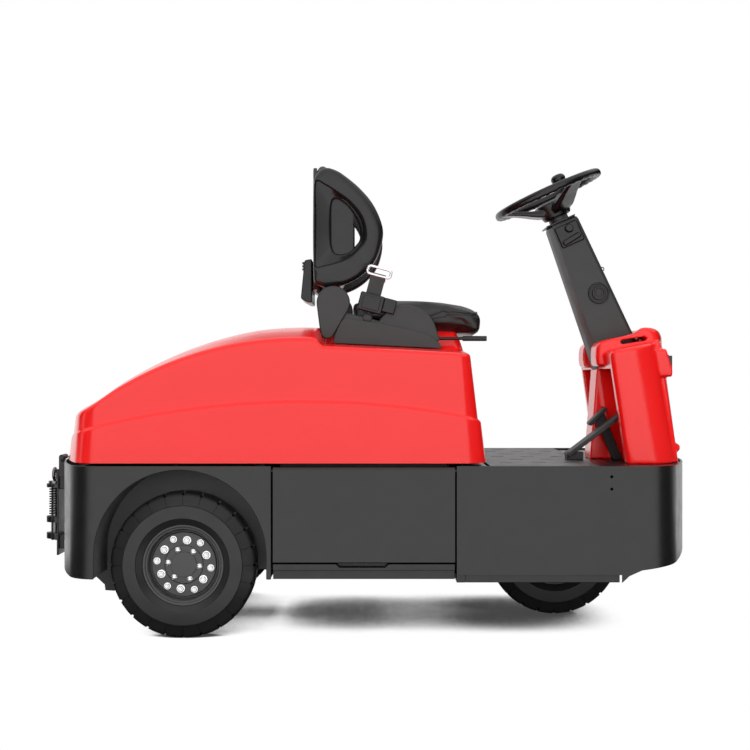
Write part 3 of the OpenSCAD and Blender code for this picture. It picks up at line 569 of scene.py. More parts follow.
def hood_section(x, half):
    crease = min(CREASE_TOP - (x - CREASE_X) ** 2 / CREASE_FALL, hood_edge(x) - 0.04)
    top = hood_edge(x) - EDGE_R
    wall = [mix(HOOD_FOOT, crease - 0.006, i / 5) for i in range(6)]
    wall += [crease + d * MM for d in (-3, -1, 1, 3, 5, 7, 10)]
    wall += [mix(crease + 0.010, top, i / 6) for i in range(1, 7)]
    lean = REAR_LEAN * clamp01((REAR_LEAN_FROM - x) / REAR_LEAN_RUN)
    lean -= FRONT_LEAN * clamp01((x - FRONT_LEAN_FROM) / FRONT_LEAN_RUN)
    ends = clamp01((x - HOOD_FRONT + FRONT_CORNER) / FRONT_CORNER)
    ends -= clamp01((HOOD_REAR + REAR_CORNER - x) / REAR_CORNER)
    side = []
    for z in wall:
        inset = hood_inset(z, crease)
        share = max(0.0, 1 - abs(ends)) ** 0.5
        side.append((x + lean * (z - HOOD_FOOT) - ends * inset, max(half - inset * share, half * 0.2), z))
    edge_half = side[-1][1]
    reach = min(EDGE_R * 2.2, edge_half)
    across = [edge_half - reach * (1 - math.cos(a)) for a in [math.pi / 2 * i / 8 for i in range(1, 9)]]
    across += [mix(edge_half - reach, 0, t) for t in ROOF_SHARES]
    for y in across:
        gap = min(edge_half - y, max(x - hood_bow(min(y, HOOD_HALF)), 0) + 1e-4, HOOD_FRONT - x)
        roll = 1 - clamp01(gap / EDGE_R)
        z = hood_roof(x, y, edge_half) - EDGE_R * (1 - math.sqrt(max(0, 1 - roll * roll)))
        inset = hood_inset(z, crease)
        side.append((x + lean * (z - HOOD_FOOT) - ends * inset, y, z))
    return side


def make_hood():
    rings = []
    plan = hood_plan()
    last = plan[-1][0]
    plan = [p for p in plan if p[0] < last - 1e-5] + [plan[-1]]
    for x, half in plan:
        side = hood_section(x, half)
        rings.append([Vector((px, -py, pz)) for px, py, pz in side]
                     + [Vector(p) for p in reversed(side[:-1])])
    n, m = len(rings), len(rings[0])
    verts, faces = loft(rings, closed=False, caps=False)
    for start in (0, (n - 1) * m):
        end = start + m - 1
        faces += [(start + j, start + j + 1, end - 1 - j, end - j) for j in range(m // 2 - 1)]
        faces.append((start + m // 2 - 1, start + m // 2, start + m // 2 + 1))
    obj = skin("hood_skin", verts, faces, 1e-5)
    settle(obj, "SOLIDIFY", thickness=HOOD_WALL, offset=-1)
    place(obj, "hood", "red_paint", ("hood",), 38)


# Wheels
WHEELS = (("rear_right", "rear_right_spin", "rear_wheel_right", -1),
          ("rear_left", "rear_left_spin", "rear_wheel_left", 1), ("front", "front_spin", "front_wheel", -1))
TYRE_R = 0.212
TYRE_HALF = 0.056
RIM_R = 0.117
PITCHES = 24
NOTCH_HALF, NOTCH_DEPTH, NOTCH_FROM = 0.004, 0.009, 0.024
GROOVE_FROM = 0.0105
SIPE_HALF, SIPE_DEPTH, SIPE_FROM = 0.0011, 0.0016, 0.03
RIM_FACE = TYRE_HALF - 0.015
NUT_HEIGHT = 0.009
# Circle's radius, angle of the first, flange's radius, width across flats (none on a bolt), depth in the rim
NUT_ROWS = ((0.071, 82.6, 0.0125, 0.017, 0.0208), (0.079, 112.6, 0.0105, 0.0145, 0.0208),
            (0.046, 113.0, 0.009, 0.0, 0.0178))


def wheel_frame(joint, outward):
    """The wheel's centre with Z along its axle, pointing out of the vehicle."""
    return Matrix.Translation(JOINTS[joint]["pos_m"]) @ side_turn(outward)


def tyre_profile():
    q, r, h = RIM_R, TYRE_R, TYRE_HALF
    bead = [(q - 0.005, h - 0.022), (q + 0.0004, h - 0.0195), (q + 0.0006, h - 0.014),
            (q + 0.004, h - 0.0112)]
    wall = [(q + 0.0175, h - 0.0034), (q + 0.019, h - 0.0013), (q + 0.020, h - 0.0003), (q + 0.0215, h),
            (q + 0.054, h), (q + 0.0555, h - 0.0004), (q + 0.0565, h - 0.0016), (q + 0.058, h - 0.0030)]
    shoulder = [(q + 0.070, h - 0.0084), (q + 0.079, h - 0.0128), (r - 0.010, h - 0.0152),
                (r - 0.006, h - 0.0175), (r - 0.003, h - 0.0202), (r - 0.001, h - 0.0236), (r, h - 0.0275)]
    crown = [(r, y) for y in (0.0265, 0.0235, 0.018, 0.0118, 0.0098, 0.005, 0)]
    half = bead + wall + shoulder + crown
    return half + [(radius, -y) for radius, y in reversed(half[:-1])]


def tyre_column(profile, distance):
    """The profile at a distance along the tread from the middle of a notch, cut by notch, groove and sipe."""
    out = []
    for radius, y in profile:
        if abs(distance) <= NOTCH_HALF and abs(y) > NOTCH_FROM:
            radius = min(radius, TYRE_R - NOTCH_DEPTH)
        elif abs(distance) <= NOTCH_HALF * 0.75 and abs(y) > GROOVE_FROM and radius > TYRE_R - 0.002:
            radius = TYRE_R - NOTCH_DEPTH * 0.8
        if abs(distance) <= SIPE_HALF and RIM_R + 0.06 < radius < TYRE_R - 0.006 and abs(y) > SIPE_FROM:
            y -= math.copysign(SIPE_DEPTH, y)
        out.append((radius, y))
    return out


def make_tyre(name, joint, body, outward):
    where = wheel_frame(joint, outward)
    profile = tyre_profile()
    pitch = 2 * math.pi * TYRE_R / PITCHES
    step = 0.0003
    edges = (NOTCH_HALF, NOTCH_HALF * 0.75, SIPE_HALF)
    places = sorted([s * (e + d) for e in edges for d in (-step, step) for s in (-1, 1)]
                    + [mix(NOTCH_HALF + 0.003, pitch - NOTCH_HALF - 0.003, i / 7) for i in range(8)])
    rings = []
    for k in range(PITCHES):
        for distance in places:
            a = (k * pitch + distance) / TYRE_R
            rings.append([where @ around(r, a, y) for r, y in tyre_column(profile, distance)])
    rings.append(rings[0])
    obj = skin(name + "_tyre_skin", *loft(rings, True, False))
    place(obj, body, "tyre_rubber", (name.replace("rear", "rear_tyre").replace("front", "front_tyre"),), 32)


def hex_nut(where, flange, flats, height):
    """Points and faces of a flanged hexagon nut with a stud in it, standing on Z."""
    disc = [(AXIS, 0), (flange, 0), (flange, 0.0016), (flange * 0.93, 0.0026), (AXIS, 0.0032)]
    rows = ((0.0024, 0.99), (height - 0.0024, 0.99), (height, 0.78), (height, 0.54), (height - 0.003, 0.48))
    corner = flats / 2 / math.cos(math.pi / 6)
    rings = [[where @ around(corner * share, math.pi / 3 * i, h) for i in range(6)] for h, share in rows]
    stud = flats * 0.24
    rod = [(AXIS, 0), (stud, 0), (stud, height + 0.001), (flats * 0.2, height + 0.002),
           (AXIS, height + 0.002)]
    return merged(revolve(disc, where, 28), loft(rings), revolve(rod, where, 16))


def dome_bolt(where, flange):
    return revolve([(AXIS, 0), (flange, 0), (flange, 0.002), (flange * 0.9, 0.004), (flange * 0.55, 0.0062),
                    (flange * 0.3, 0.0068), (AXIS, 0.007)], where, 24)


HUB_CAP = [(AXIS, 0), (0.0372, 0), (0.0372, 0.0034), (0.0364, 0.0042), (AXIS, 0.0044)]
HUB_CAP_DEPTH = 0.0182


def make_rim(name, joint, body, outward):
    solid = name.replace("rear", "rear_rim").replace("front", "front_rim")
    dress(solid, 0.0012, 2, smooth=35)
    where = wheel_frame(joint, outward)
    parts = []
    for k in range(6):
        for radius, angle, flange, flats, depth in NUT_ROWS:
            a = math.radians(angle + 60 * k)
            spot = where @ Matrix.Translation(
                (radius * math.cos(a), -outward * radius * math.sin(a), RIM_FACE - depth))
            parts.append(hex_nut(spot, flange, flats, NUT_HEIGHT) if flats else dome_bolt(spot, flange))
    obj = skin(name + "_nuts_skin", *merged(*parts))
    nuts = name.replace("rear", "rear_nuts").replace("front", "front_nuts")
    place(obj, body, "zinc_steel", (nuts,), 30)
    hub = where @ Matrix.Translation((0, 0, RIM_FACE - HUB_CAP_DEPTH))
    cap = skin(name + "_hub_cap", *revolve(HUB_CAP, hub, 64))
    place(cap, body, "rim_paint", (), 30)


# Steering wheel
def column_frame():
    axis = Vector(JOINTS["wheel_turn"]["axis"])
    tilt = math.atan2(-axis.x, axis.z)
    return Matrix.Translation(JOINTS["wheel_turn"]["pos_m"]) @ Matrix.Rotation(-tilt, 4, "Y")


COLUMN_LEN = 0.406
WHEEL_H = COLUMN_LEN + 0.099
WHEEL_R = 0.17
GRIP_R = 0.014
SPOKES = (60, 180, 300)
SPOKE_ROWS = ((0.040, 0.040, 0.046, 0.012), (0.056, 0.040, 0.051, 0.012), (0.080, 0.036, 0.062, 0.010),
              (0.104, 0.032, 0.074, 0.008), (0.126, 0.029, 0.084, 0.007), (0.148, 0.026, 0.093, 0.006),
              (0.168, 0.025, 0.098, 0.006))
SPOKE_SECTION = ((-1, -0.4), (-0.9, -1), (0.9, -1), (1, -0.4), (1, 0.4), (0.9, 1), (-0.9, 1), (-1, 0.4))
GRIP_RIB = 0.0014
HUB = ((0.038, 0), (0.043, 0), (0.0455, 0.003), (0.0595, 0.043), (0.0605, 0.047), (0.057, 0.051),
       (0.040, 0.057), (AXIS, 0.058), (AXIS, 0.018), (0.038, 0.018))
KNOB_TURN = 62
KNOB = ((AXIS, 0), (0.0115, 0), (0.0120, 0.0012), (0.0104, 0.004), (0.0092, 0.0075), (0.0094, 0.0108),
        (0.0118, 0.0138), (0.0158, 0.0168), (0.0202, 0.0205), (0.0232, 0.0250), (0.0247, 0.0298),
        (0.0246, 0.0345), (0.0230, 0.0392), (0.0200, 0.0430), (0.0155, 0.0460), (0.0100, 0.0475),
        (0.0050, 0.0480), (AXIS, 0.0480))


def make_steering_wheel():
    where = column_frame()
    rings = []
    for i in range(144):
        a = 2 * math.pi * i / 144
        rib = GRIP_RIB * max(0.0, math.cos(a * 36)) ** 2
        ring = []
        for j in range(20):
            b = 2 * math.pi * j / 20
            r = GRIP_R - GRIP_RIB + rib * max(0.0, -math.sin(b)) ** 0.5
            ring.append(where @ around(WHEEL_R + r * math.cos(b), a, WHEEL_H + r * math.sin(b)))
        rings.append(ring)
    rings.append(rings[0])
    place(skin("steering_grip", *loft(rings, True, False)), "steering", "black_plastic", (), 60)
    hub = revolve([(r, COLUMN_LEN + 0.02 + h) for r, h in HUB], where, 64)
    arms = []
    for angle in SPOKES:
        turn = where @ Matrix.Rotation(math.radians(angle), 4, "Z")
        arms.append(loft([[turn @ Vector((reach, half * px, COLUMN_LEN + level + thick * pz))
                           for px, pz in SPOKE_SECTION] for reach, half, level, thick in SPOKE_ROWS]))
    body = skin("steering_hub", *merged(hub, *arms))
    remesh(body, 0.0026)
    relax(body, 3)
    thin_out(body, 0.4)
    place(body, "steering", "black_plastic", ("steering_wheel",), 50)
    turn = where @ Matrix.Rotation(math.radians(KNOB_TURN), 4, "Z")
    spot = turn @ Matrix.Translation((WHEEL_R, 0, WHEEL_H + 0.0143))
    knob = skin("spinner_knob_skin", *revolve(KNOB, spot, 48))
    place(knob, "steering", "knob_plastic", ("spinner_knob",), 50)


# Seat
def puff(obj, voxel, pressure, cap, seams=None, steps=20):
    """Inflates a pad as cloth. seams(point) is true where stitching holds the cover down."""
    remesh(obj, voxel)
    relax(obj, 4)
    rest = [v.co.copy() for v in obj.data.vertices]
    pins = obj.vertex_groups.new(name="seams")
    held = [i for i, p in enumerate(rest) if seams and seams(p)]
    pins.add(held, 1.0, "REPLACE")
    cloth = obj.modifiers.new("cloth", "CLOTH")
    s = cloth.settings
    s.use_pressure = True
    s.uniform_pressure_force = pressure
    s.effector_weights.gravity = 0
    s.mass = 0.3
    s.tension_stiffness = 12
    s.compression_stiffness = 12
    s.bending_stiffness = 1.5
    s.vertex_group_mass = "seams"
    cloth.point_cache.frame_start = 1
    cloth.point_cache.frame_end = steps
    for f in range(1, steps + 1):
        bpy.context.scene.frame_set(f)
    made = bpy.data.meshes.new_from_object(obj.evaluated_get(bpy.context.evaluated_depsgraph_get()))
    for v, p in zip(made.vertices, rest):
        d = v.co - p
        if d.length > cap:
            v.co = p + d.normalized() * cap
    obj.modifiers.clear()
    obj.vertex_groups.clear()
    obj.data = made
    bpy.context.scene.frame_set(1)
    relax(obj, 2)


def shrunk_copy(name, by):
    """A copy of a soft solid, drawn in along its normals."""
    bm = welded(name)
    bm.normal_update()
    for v in bm.verts:
        v.co -= v.normal * by
    return from_bmesh(name + "_cover", bm)


def on_surface(obj, points, lift):
    """The places on a piece nearest to given points, raised a little."""
    faces = [list(f.vertices) for f in obj.data.polygons]
    tree = BVHTree.FromPolygons([v.co for v in obj.data.vertices], faces)
    found = [tree.find_nearest(Vector(p)) for p in points]
    return [where + normal * lift for where, normal, face, gap in found]


def along(points, steps=8):
    """A smooth open line through points."""
    pts = [Vector(p) for p in points]
    pts = [pts[0] * 2 - pts[1]] + pts + [pts[-1] * 2 - pts[-2]]
    out = []
    for a, b, c, d in zip(pts, pts[1:], pts[2:], pts[3:]):
        bend, twist = 2 * a - 5 * b + 4 * c - d, 3 * b - a - 3 * c + d
        for k in range(steps):
            t = k / steps
            out.append(0.5 * (2 * b + (c - a) * t + bend * t * t + twist * t ** 3))
    return out + [pts[-2]]


def piping(name, obj, points, radius, body):
    line = on_surface(obj, along(points, 10), radius * 0.2)
    place(skin(name, *tube(line, radius, 8)), body, "seat_vinyl", (), 60)


def stitches(name, obj, points, body, pitch=0.008, length=0.0045, radius=0.0006):
    """A row of short threads along a line on a piece."""
    line = on_surface(obj, along(points, 24), 0.0004)
    parts, walked = [], 0.0
    for p, q in zip(line, line[1:]):
        if walked % pitch < length:
            parts.append(tube([p, q], radius, 5))
        walked += (q - p).length
    place(skin(name, *merged(*parts)), body, "seat_vinyl", (), 60, "thread")


WING_CENTRE = (-0.045, 1.222)
WING_OUT = ((-0.140, 1.045), (-0.142, 1.150), (-0.142, 1.260), (-0.140, 1.352), (-0.128, 1.388),
            (-0.104, 1.402), (-0.078, 1.397), (-0.050, 1.382), (0.0, 1.341), (0.042, 1.291), (0.069, 1.232),
            (0.073, 1.185), (0.055, 1.124), (0.015, 1.076), (-0.040, 1.044), (-0.100, 1.034))
WING_BAND = ((-0.139, 1.092), (-0.140, 1.150), (-0.140, 1.260), (-0.138, 1.357), (-0.101, 1.346),
             (-0.067, 1.3245), (-0.029, 1.2957), (0.0046, 1.254), (0.0184, 1.211), (0.0171, 1.177),
             (-0.003, 1.150), (-0.029, 1.126), (-0.067, 1.110))
WING_HOLE = ((-0.086, 1.165), (-0.087, 1.220), (-0.086, 1.285), (-0.078, 1.307), (-0.060, 1.305),
             (-0.030, 1.281), (-0.008, 1.250), (0.004, 1.214), (0.003, 1.182), (-0.012, 1.158),
             (-0.034, 1.141), (-0.060, 1.136), (-0.078, 1.143))
WING_Y = (0.172, 0.2175)
POCKET = ((-0.095, 1.150), (-0.095, 1.300), (-0.080, 1.316), (-0.056, 1.312), (-0.019, 1.280),
          (-0.019, 1.142), (-0.036, 1.132), (-0.062, 1.128), (-0.082, 1.134))
POCKET_Y = (0.176, 0.181)
PAD_INSET = 0.005
SEAM_HALF = 0.004
CUSHION_SEAM_Y, BACK_SEAM_Y = 0.135, 0.105
CUSHION_EDGE = ((0.06, 0.22, 0.925), (0.14, 0.22, 0.934), (0.21, 0.22, 0.947), (0.29, 0.22, 0.963),
                (0.345, 0.21, 0.973), (0.372, 0.185, 0.972))
CUSHION_FRONT = ((0.376, 0.10, 0.970), (0.377, 0.002, 0.970))


def polar(points, count):
    """Reach of a closed outline from the wing's centre at even angles."""
    pts = [Vector((x - WING_CENTRE[0], z - WING_CENTRE[1])) for x, z in points]
    line = along([*pts, pts[0]], 10)
    out = []
    for i in range(count):
        a = 2 * math.pi * i / count
        ray = Vector((math.cos(a), math.sin(a)))
        best = 0.0
        for p, q in zip(line, line[1:]):
            d = q - p
            det = ray.x * -d.y + ray.y * d.x
            if abs(det) < 1e-12:
                continue
            t = (p.x * -d.y + p.y * d.x) / det
            u = (ray.x * p.y - ray.y * p.x) / det
            if t > 0 and -1e-6 <= u <= 1 + 1e-6:
                best = max(best, t)
        out.append(best)
    return out


def make_wing(side, tag):
    """A moulded band round a sunken panel with an opening in it, and the floor of the opening's rear part."""
    count = 120
    y0, y1 = WING_Y
    rings = []
    reaches = zip(polar(WING_OUT, count), polar(WING_BAND, count), polar(WING_HOLE, count))
    for i, (out, band, hole) in enumerate(reaches):
        a = 2 * math.pi * i / count
        hole = min(hole, band - 0.014)
        band = min(band, out - 0.010)
        hole = min(hole, band - 0.014)
        wide = out - band
        ring = [(out - 0.012, y0), (out - 0.0035, y0 + 0.0035), (out, y0 + 0.012), (out, y1 - 0.022),
                (out - min(0.002, wide * 0.06), y1 - 0.014), (out - min(0.007, wide * 0.18), y1 - 0.0078),
                (out - min(0.016, wide * 0.38), y1 - 0.0026), (mix(out, band, 0.6), y1),
                (band + min(0.007, wide * 0.2), y1 - 0.0008), (band + min(0.003, wide * 0.1), y1 - 0.0030),
                (band, y1 - 0.0085), (band - 0.003, y1 - 0.0100), (hole + 0.008, y1 - 0.0215),
                (hole + 0.004, y1 - 0.0228), (hole + 0.001, y1 - 0.026), (hole, y1 - 0.030),
                (hole - 0.002, y0 + 0.006), (hole, y0 + 0.001), (hole + 0.008, y0)]
        rings.append([Vector((WING_CENTRE[0] + r * math.cos(a), side * y, WING_CENTRE[1] + r * math.sin(a)))
                      for r, y in ring])
    rings.append(rings[0])
    pocket = from_bmesh("wing_pocket_" + tag, prism(POCKET, side * POCKET_Y[0], side * POCKET_Y[1], 0))
    place(pocket, "hood", "seat_vinyl", (), 35)
    return skin("seat_wing_" + tag, *loft(rings, True, False))


def make_seat():
    pad = shrunk_copy("seat_cushion", PAD_INSET)
    low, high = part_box("seat_cushion")
    cross = high.x - 0.09

    def cushion_seam(p):
        along_x = abs(abs(p.y) - CUSHION_SEAM_Y) < SEAM_HALF and p.x < cross
        along_y = abs(p.x - high.x + 0.09) < SEAM_HALF and abs(p.y) < CUSHION_SEAM_Y + SEAM_HALF
        return p.z > low.z + 0.05 and (along_x or along_y)
    puff(pad, 0.005, 4.0, 0.009, cushion_seam)
    place(pad, "hood", "seat_vinyl", ("seat_cushion",), 60)
    for side, tag in SIDES:
        edge = [(x, side * y, z) for x, y, z in CUSHION_EDGE]
        lower = [(x + 0.012, y, z - 0.013) for x, y, z in edge[1:]]
        front = [(x, side * y, z) for x, y, z in CUSHION_FRONT]
        piping("cushion_piping_" + tag, pad, edge + front, 0.0028, "hood")
        piping("cushion_seam_" + tag, pad, lower, 0.0016, "hood")
        stitches("cushion_stitches_" + tag, pad,
                 [(x, side * CUSHION_SEAM_Y, z) for x, z in ((0.0, 1.0), (0.15, 1.0), (cross, 0.99))], "hood")
    back = shrunk_copy("seat_back", PAD_INSET)
    low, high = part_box("seat_back")

    def back_seam(p):
        along_z = abs(abs(p.y) - BACK_SEAM_Y) < SEAM_HALF
        along_y = abs(p.z - low.z - 0.16) < SEAM_HALF and abs(p.y) < BACK_SEAM_Y + SEAM_HALF
        return p.x > -0.08 and (along_z or along_y)
    puff(back, 0.005, 4.0, 0.009, back_seam)
    place(back, "hood", "seat_vinyl", ("seat_back",), 60)
    for side, tag in SIDES:
        edge = [(-0.05, side * 0.16, z) for z in (1.07, 1.15, 1.25, 1.33, 1.39)]
        piping("back_piping_" + tag, back, edge, 0.0028, "hood")
        row = [(0.0, side * BACK_SEAM_Y, z) for z in (1.08, 1.18, 1.28, 1.38)]
        stitches("back_stitches_" + tag, back, row, "hood")
        wing = make_wing(side, tag)
        place(wing, "hood", "seat_vinyl", ("seat_wings",), 50)


BELT_SPOT = (0.037, -0.2393, 0.982)
SPARE_SPOT = (0.092, -0.2393, 0.973)
BELT_TILT = 15
BELT_Y = -0.014
STRAP_SECTION = ((-0.023, 0), (-0.0222, -0.0014), (0.0222, -0.0014), (0.023, 0), (0.0222, 0.0014),
                 (-0.0222, 0.0014))


def belt_frame(spot):
    return Matrix.Translation(spot) @ Matrix.Rotation(math.radians(BELT_TILT), 4, "Y")


def make_belt():
    where = belt_frame(BELT_SPOT)
    rows = []
    for i in range(13):
        h = 0.0283 + 0.064 * i / 12
        y = BELT_Y - 0.002 * math.sin(math.pi * i / 12)
        rows.append([where @ Vector((x, y + d, h)) for x, d in STRAP_SECTION])
    corners = ((-0.0245, -0.0034), (0.0245, -0.0034), (0.0245, 0.0034), (-0.0245, 0.0034))
    fold = [[where @ Vector((x, BELT_Y + d, h)) for x, d in corners] for h in (0.070, 0.0715, 0.0785, 0.080)]
    place(skin("belt_strap", *merged(loft(rows), loft(fold))), "hood", "webbing", ("belt",), 40)
    bow = rounded([(-0.036, 0.086), (0.036, 0.086), (0.036, 0.110), (-0.036, 0.110)], 0.010)
    ring = tube([where @ Vector((x, BELT_Y, h)) for x, h in bow], 0.0042, 10, True)
    place(skin("belt_latch", *ring), "hood", "zinc_steel", (), 50)


# Plates and blocks
def gather(name, shapes):
    """One piece from several bmeshes."""
    whole = bmesh.new()
    for bm in shapes:
        mesh = bpy.data.meshes.new(name)
        bm.to_mesh(mesh)
        bm.free()
        whole.from_mesh(mesh)
    return from_bmesh(name, whole)


def block(low, high, bevel=0.0, where=Matrix(), segments=3):
    """A box between two corners in millimetres of a frame, as a bmesh. bevel rounds its edges, in metres."""
    bm = bmesh.new()
    bmesh.ops.create_cube(bm, size=1.0)
    for v in bm.verts:
        v.co = Vector([mix(a, b, t + 0.5) * MM for a, b, t in zip(low, high, v.co)])
    if bevel:
        round_edges(bm, bevel, segments)
    bmesh.ops.transform(bm, matrix=where, verts=bm.verts)
    return bm


def cut(obj, shapes):
    """Takes shapes out of a piece."""
    tool = gather("cutter", shapes)
    settle(obj, "BOOLEAN", operation="DIFFERENCE", object=tool, solver="EXACT", use_self=True)
    bpy.data.objects.remove(tool)


def finish(obj, node_name, smooth=40, material=None):
    return place(obj, BODY_OF[node_name], SLOT_OF[node_name], (node_name,), smooth, material)


# Seat base: a plate, two side caps, two covers that stand on the hood's ledge, two buttons
SEAT_HALF = 235
SEAT_FOOT = 884.3
SIDE_CAP = [(-80, 866), (-66, 960), (20, 940), (55, 930), *arc((144, 881), 96, 150, 10, 12), (250, 866)]
SIDE_COVER = [(-82, 860.5), (-66, 902), (-53, 928), (-42, 937), (64, 922), (171, 898), (217, 886),
              (241, 864), (257, 844)]
BUTTON = [(AXIS, 0), (0.015, 0), (0.015, 0.006), (0.0135, 0.009), (0.009, 0.0105), (AXIS, 0.011)]
BUTTON_SPOT = (26, 939)
# The recliner cover's two round ends, as centre and radius, and its faces
DROP_TOP, DROP_FOOT = ((-78, 984), 51), ((-96, 895), 22)
DROP_Y = (0.2393, 0.2495)
BRACKET = [(-173, 1126), (-149.3, 1130), (-149.3, 992), (-162, 992), (-185, 1005)]
BRACKET_RIBS = (1098, 1108, 1118)


def make_seat_base():
    plate = SEAT_HALF - 10
    shapes = [block((-60, -plate, SEAT_FOOT), (240, plate, SEAT_FOOT + 12), 0.002)]
    for side in (-1, 1):
        inner, outer = side * (SEAT_HALF - 18) * MM, side * (SEAT_HALF + 4) * MM
        shapes.append(prism(rounded(metres(SIDE_CAP), 0.014), inner, outer, 0.005))
        inner, outer = side * (SEAT_HALF - 8) * MM, side * (SEAT_HALF + 16) * MM
        shapes.append(prism(rounded(metres(SIDE_COVER), 0.018), inner, outer, 0.007, 4))
        spot = facing(BUTTON_SPOT[0], side * (SEAT_HALF - 1), BUTTON_SPOT[1], side)
        shapes.append(shape(*revolve(BUTTON, spot, 32)))
    finish(gather("seat_base_skin", shapes), "seat_base", 35)


def make_seat_fittings():
    """The recliner's drop-shaped covers, the bracket behind the backrest and the belt's boxes."""
    ends = arc(*DROP_TOP, 0, 360, 48) + arc(*DROP_FOOT, 0, 360, 32)
    outline = [ends[i] for i in geometry.convex_hull_2d([Vector(p) for p in ends])]
    shapes = []
    for side in (-1, 1):
        shapes.append(prism(metres(outline), side * DROP_Y[0], side * DROP_Y[1], 0.006, 4))
        near, far = sorted((side * 160, side * 240))
        shapes.append(block((-110, near, 985), (-84, far, 1031.6), 0.003))
    finish(gather("seat_pivots_skin", shapes), "seat_pivots", 35)
    shapes = [prism(rounded(metres(BRACKET), 0.006), -0.11, 0.11, 0.004)]
    shapes += [block((-181, -96, z - 3), (-160, 96, z + 3), 0.0015) for z in BRACKET_RIBS]
    finish(gather("back_bracket_skin", shapes), "back_bracket", 35)
    main, spare = belt_frame(BELT_SPOT), belt_frame(SPARE_SPOT)
    shapes = [block((-38, -26, -28), (38, 0, 28), 0.005, main),
              block((-27, -29, -20), (27, -24, 20), 0.002, main),
              block((-20, -18, -22), (20, 0, 22), 0.004, spare)]
    finish(gather("belt_retractor_skin", shapes), "belt_retractor", 35)


# Hitch bracket: a plate on two spacers with three flanges round the pin
HITCH_PLATE = (-966, -960)
FLANGES = ((403, 415), (291, 311), (238, 258))
FLANGE_R = 26
HITCH_HALF = 55
SPACER_END = -918


def make_hitch():
    low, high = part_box("hitch_pin")
    pin_x = (low.x + high.x) / 2 / MM
    rear, front = HITCH_PLATE
    shapes = [block((rear, -HITCH_HALF, 190), (front, HITCH_HALF, 464), 0.0012)]
    shapes += [block((front - 1, -45, z), (SPACER_END, 45, z + 44), 0.002) for z in (210, 400)]
    tongue = arc((pin_x, 0), FLANGE_R, -90, -270, 20)
    outline = [(rear + 2, -HITCH_HALF), *tongue, (rear + 2, HITCH_HALF)]
    lay_flat = Matrix.Rotation(math.radians(90), 4, "X")
    for bottom, top in FLANGES:
        bm = prism(metres(outline), bottom * MM, top * MM, 0.002)
        bmesh.ops.transform(bm, matrix=lay_flat, verts=bm.verts)
        shapes.append(bm)
    finish(gather("hitch_bracket_skin", shapes), "hitch_bracket", 35)


# Floor mat: a flat sheet with slanting slots
SLOT_LONG, SLOT_WIDE, SLOT_DEEP, SLOT_TURN = 46, 13, 4, 24


def make_mat():
    bm = solid_copy("floor_mat")
    low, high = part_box("floor_mat")
    flat = low.z + 0.0025
    cutting = bmesh.ops.bisect_plane(bm, geom=bm.verts[:] + bm.edges[:] + bm.faces[:], plane_co=(0, 0, flat),
                                     plane_no=(0, 0, 1), clear_outer=True)["geom_cut"]
    bmesh.ops.holes_fill(bm, edges=[g for g in cutting if isinstance(g, bmesh.types.BMEdge)], sides=0)
    for v in bm.verts:
        if v.co.z > flat - 1e-5:
            v.co.z = high.z
    weld(bm)
    obj = from_bmesh("floor_mat_skin", bm)
    corner = (SLOT_LONG / 2, SLOT_WIDE / 2, 5)
    slots = []
    for i in range(3):
        for j in range(-2, 4):
            x = low.x / MM + 62 + i * 96 + 44 * (j % 2)
            turn = Matrix.Rotation(math.radians(SLOT_TURN if (i + j) % 2 == 0 else -SLOT_TURN), 4, "Z")
            spot = Matrix.Translation(metres([(x, j * 145 - 30, high.z / MM)])[0]) @ turn
            slots.append(block((-corner[0], -corner[1], -SLOT_DEEP), corner, 0, spot))
    cut(obj, slots)
    finish(obj, "floor_mat", 35)


# Dash cowl: two ears, a centre post and a collar round the column, with a grab slot and lamp pods
COWL_HALF, COWL_FOOT, COWL_TOP = 318, 503, 835
COLLAR_HALF = 186
COLLAR_MIDDLE = (850, 845)
COLLAR = ((736, 793), (733, 815), (733, 838), (735, 852), (741, 863), (752, 870), (776, 876), (810, 883),
          (848, 891), (872, 899), (892, 909), (918, 912), (944, 910), (958, 901), (965, 884), (966, 860),
          (958, 826), (950, 800), (860, 786), (780, 786))
# How far in from its ends the collar has which share of its size
COLLAR_ENDS = ((0, 0.86), (3, 0.93), (8, 0.98), (16, 1))
GRAB_SLOT = ((807, 864), (813, 859.7), (883, 870.5), (889, 876), (889, 879), (883, 883.5), (813, 872.7),
             (807, 869))
EAR_REAR_R, EAR_FRONT_R = 20, 95
EAR_INSIDE = COWL_HALF - 56
# The ears' rounded top: how far in and how far up
EAR_RIM = ((0, 0), (1.5, 6), (5, 10.5), (12, 12.5))
FRONT_BUMP = ((930, 527), (978, 528), (985, 535), (985, 547), (978, 554), (930, 555))
LAMP_POD_Y = 200
LAMP_POD_LOW, LAMP_POD_HIGH = 770, 832
LAMP_POD_R = 12
COWL_VOXEL = 0.003


def cowl_ring(level, inset, bow, height, slope):
    """The ears' outline in plan, for the walls' lean at a level, laid on a plane that rises to the front."""
    t = (level - COWL_FOOT) / (COWL_TOP - COWL_FOOT)
    rear, front = mix(804, 754, t), mix(963, 902, t)
    half = mix(COWL_HALF, COWL_HALF - 12, t)
    near = arc((rear + EAR_REAR_R, EAR_REAR_R - half), EAR_REAR_R - inset, 180, 270, 8)
    near += arc((front - EAR_FRONT_R, EAR_FRONT_R - half), EAR_FRONT_R - inset, 270, 345, 20)
    shares = (-0.85, -0.6, -0.3, 0, 0.3, 0.6, 0.85)
    middle = [(front + bow * (1 - k * k) - inset, k * (half - 30)) for k in shares]
    far = [(x, -y) for x, y in reversed(near)]
    return metres([(x, y, height + slope * (x - rear)) for x, y in near + middle + far])


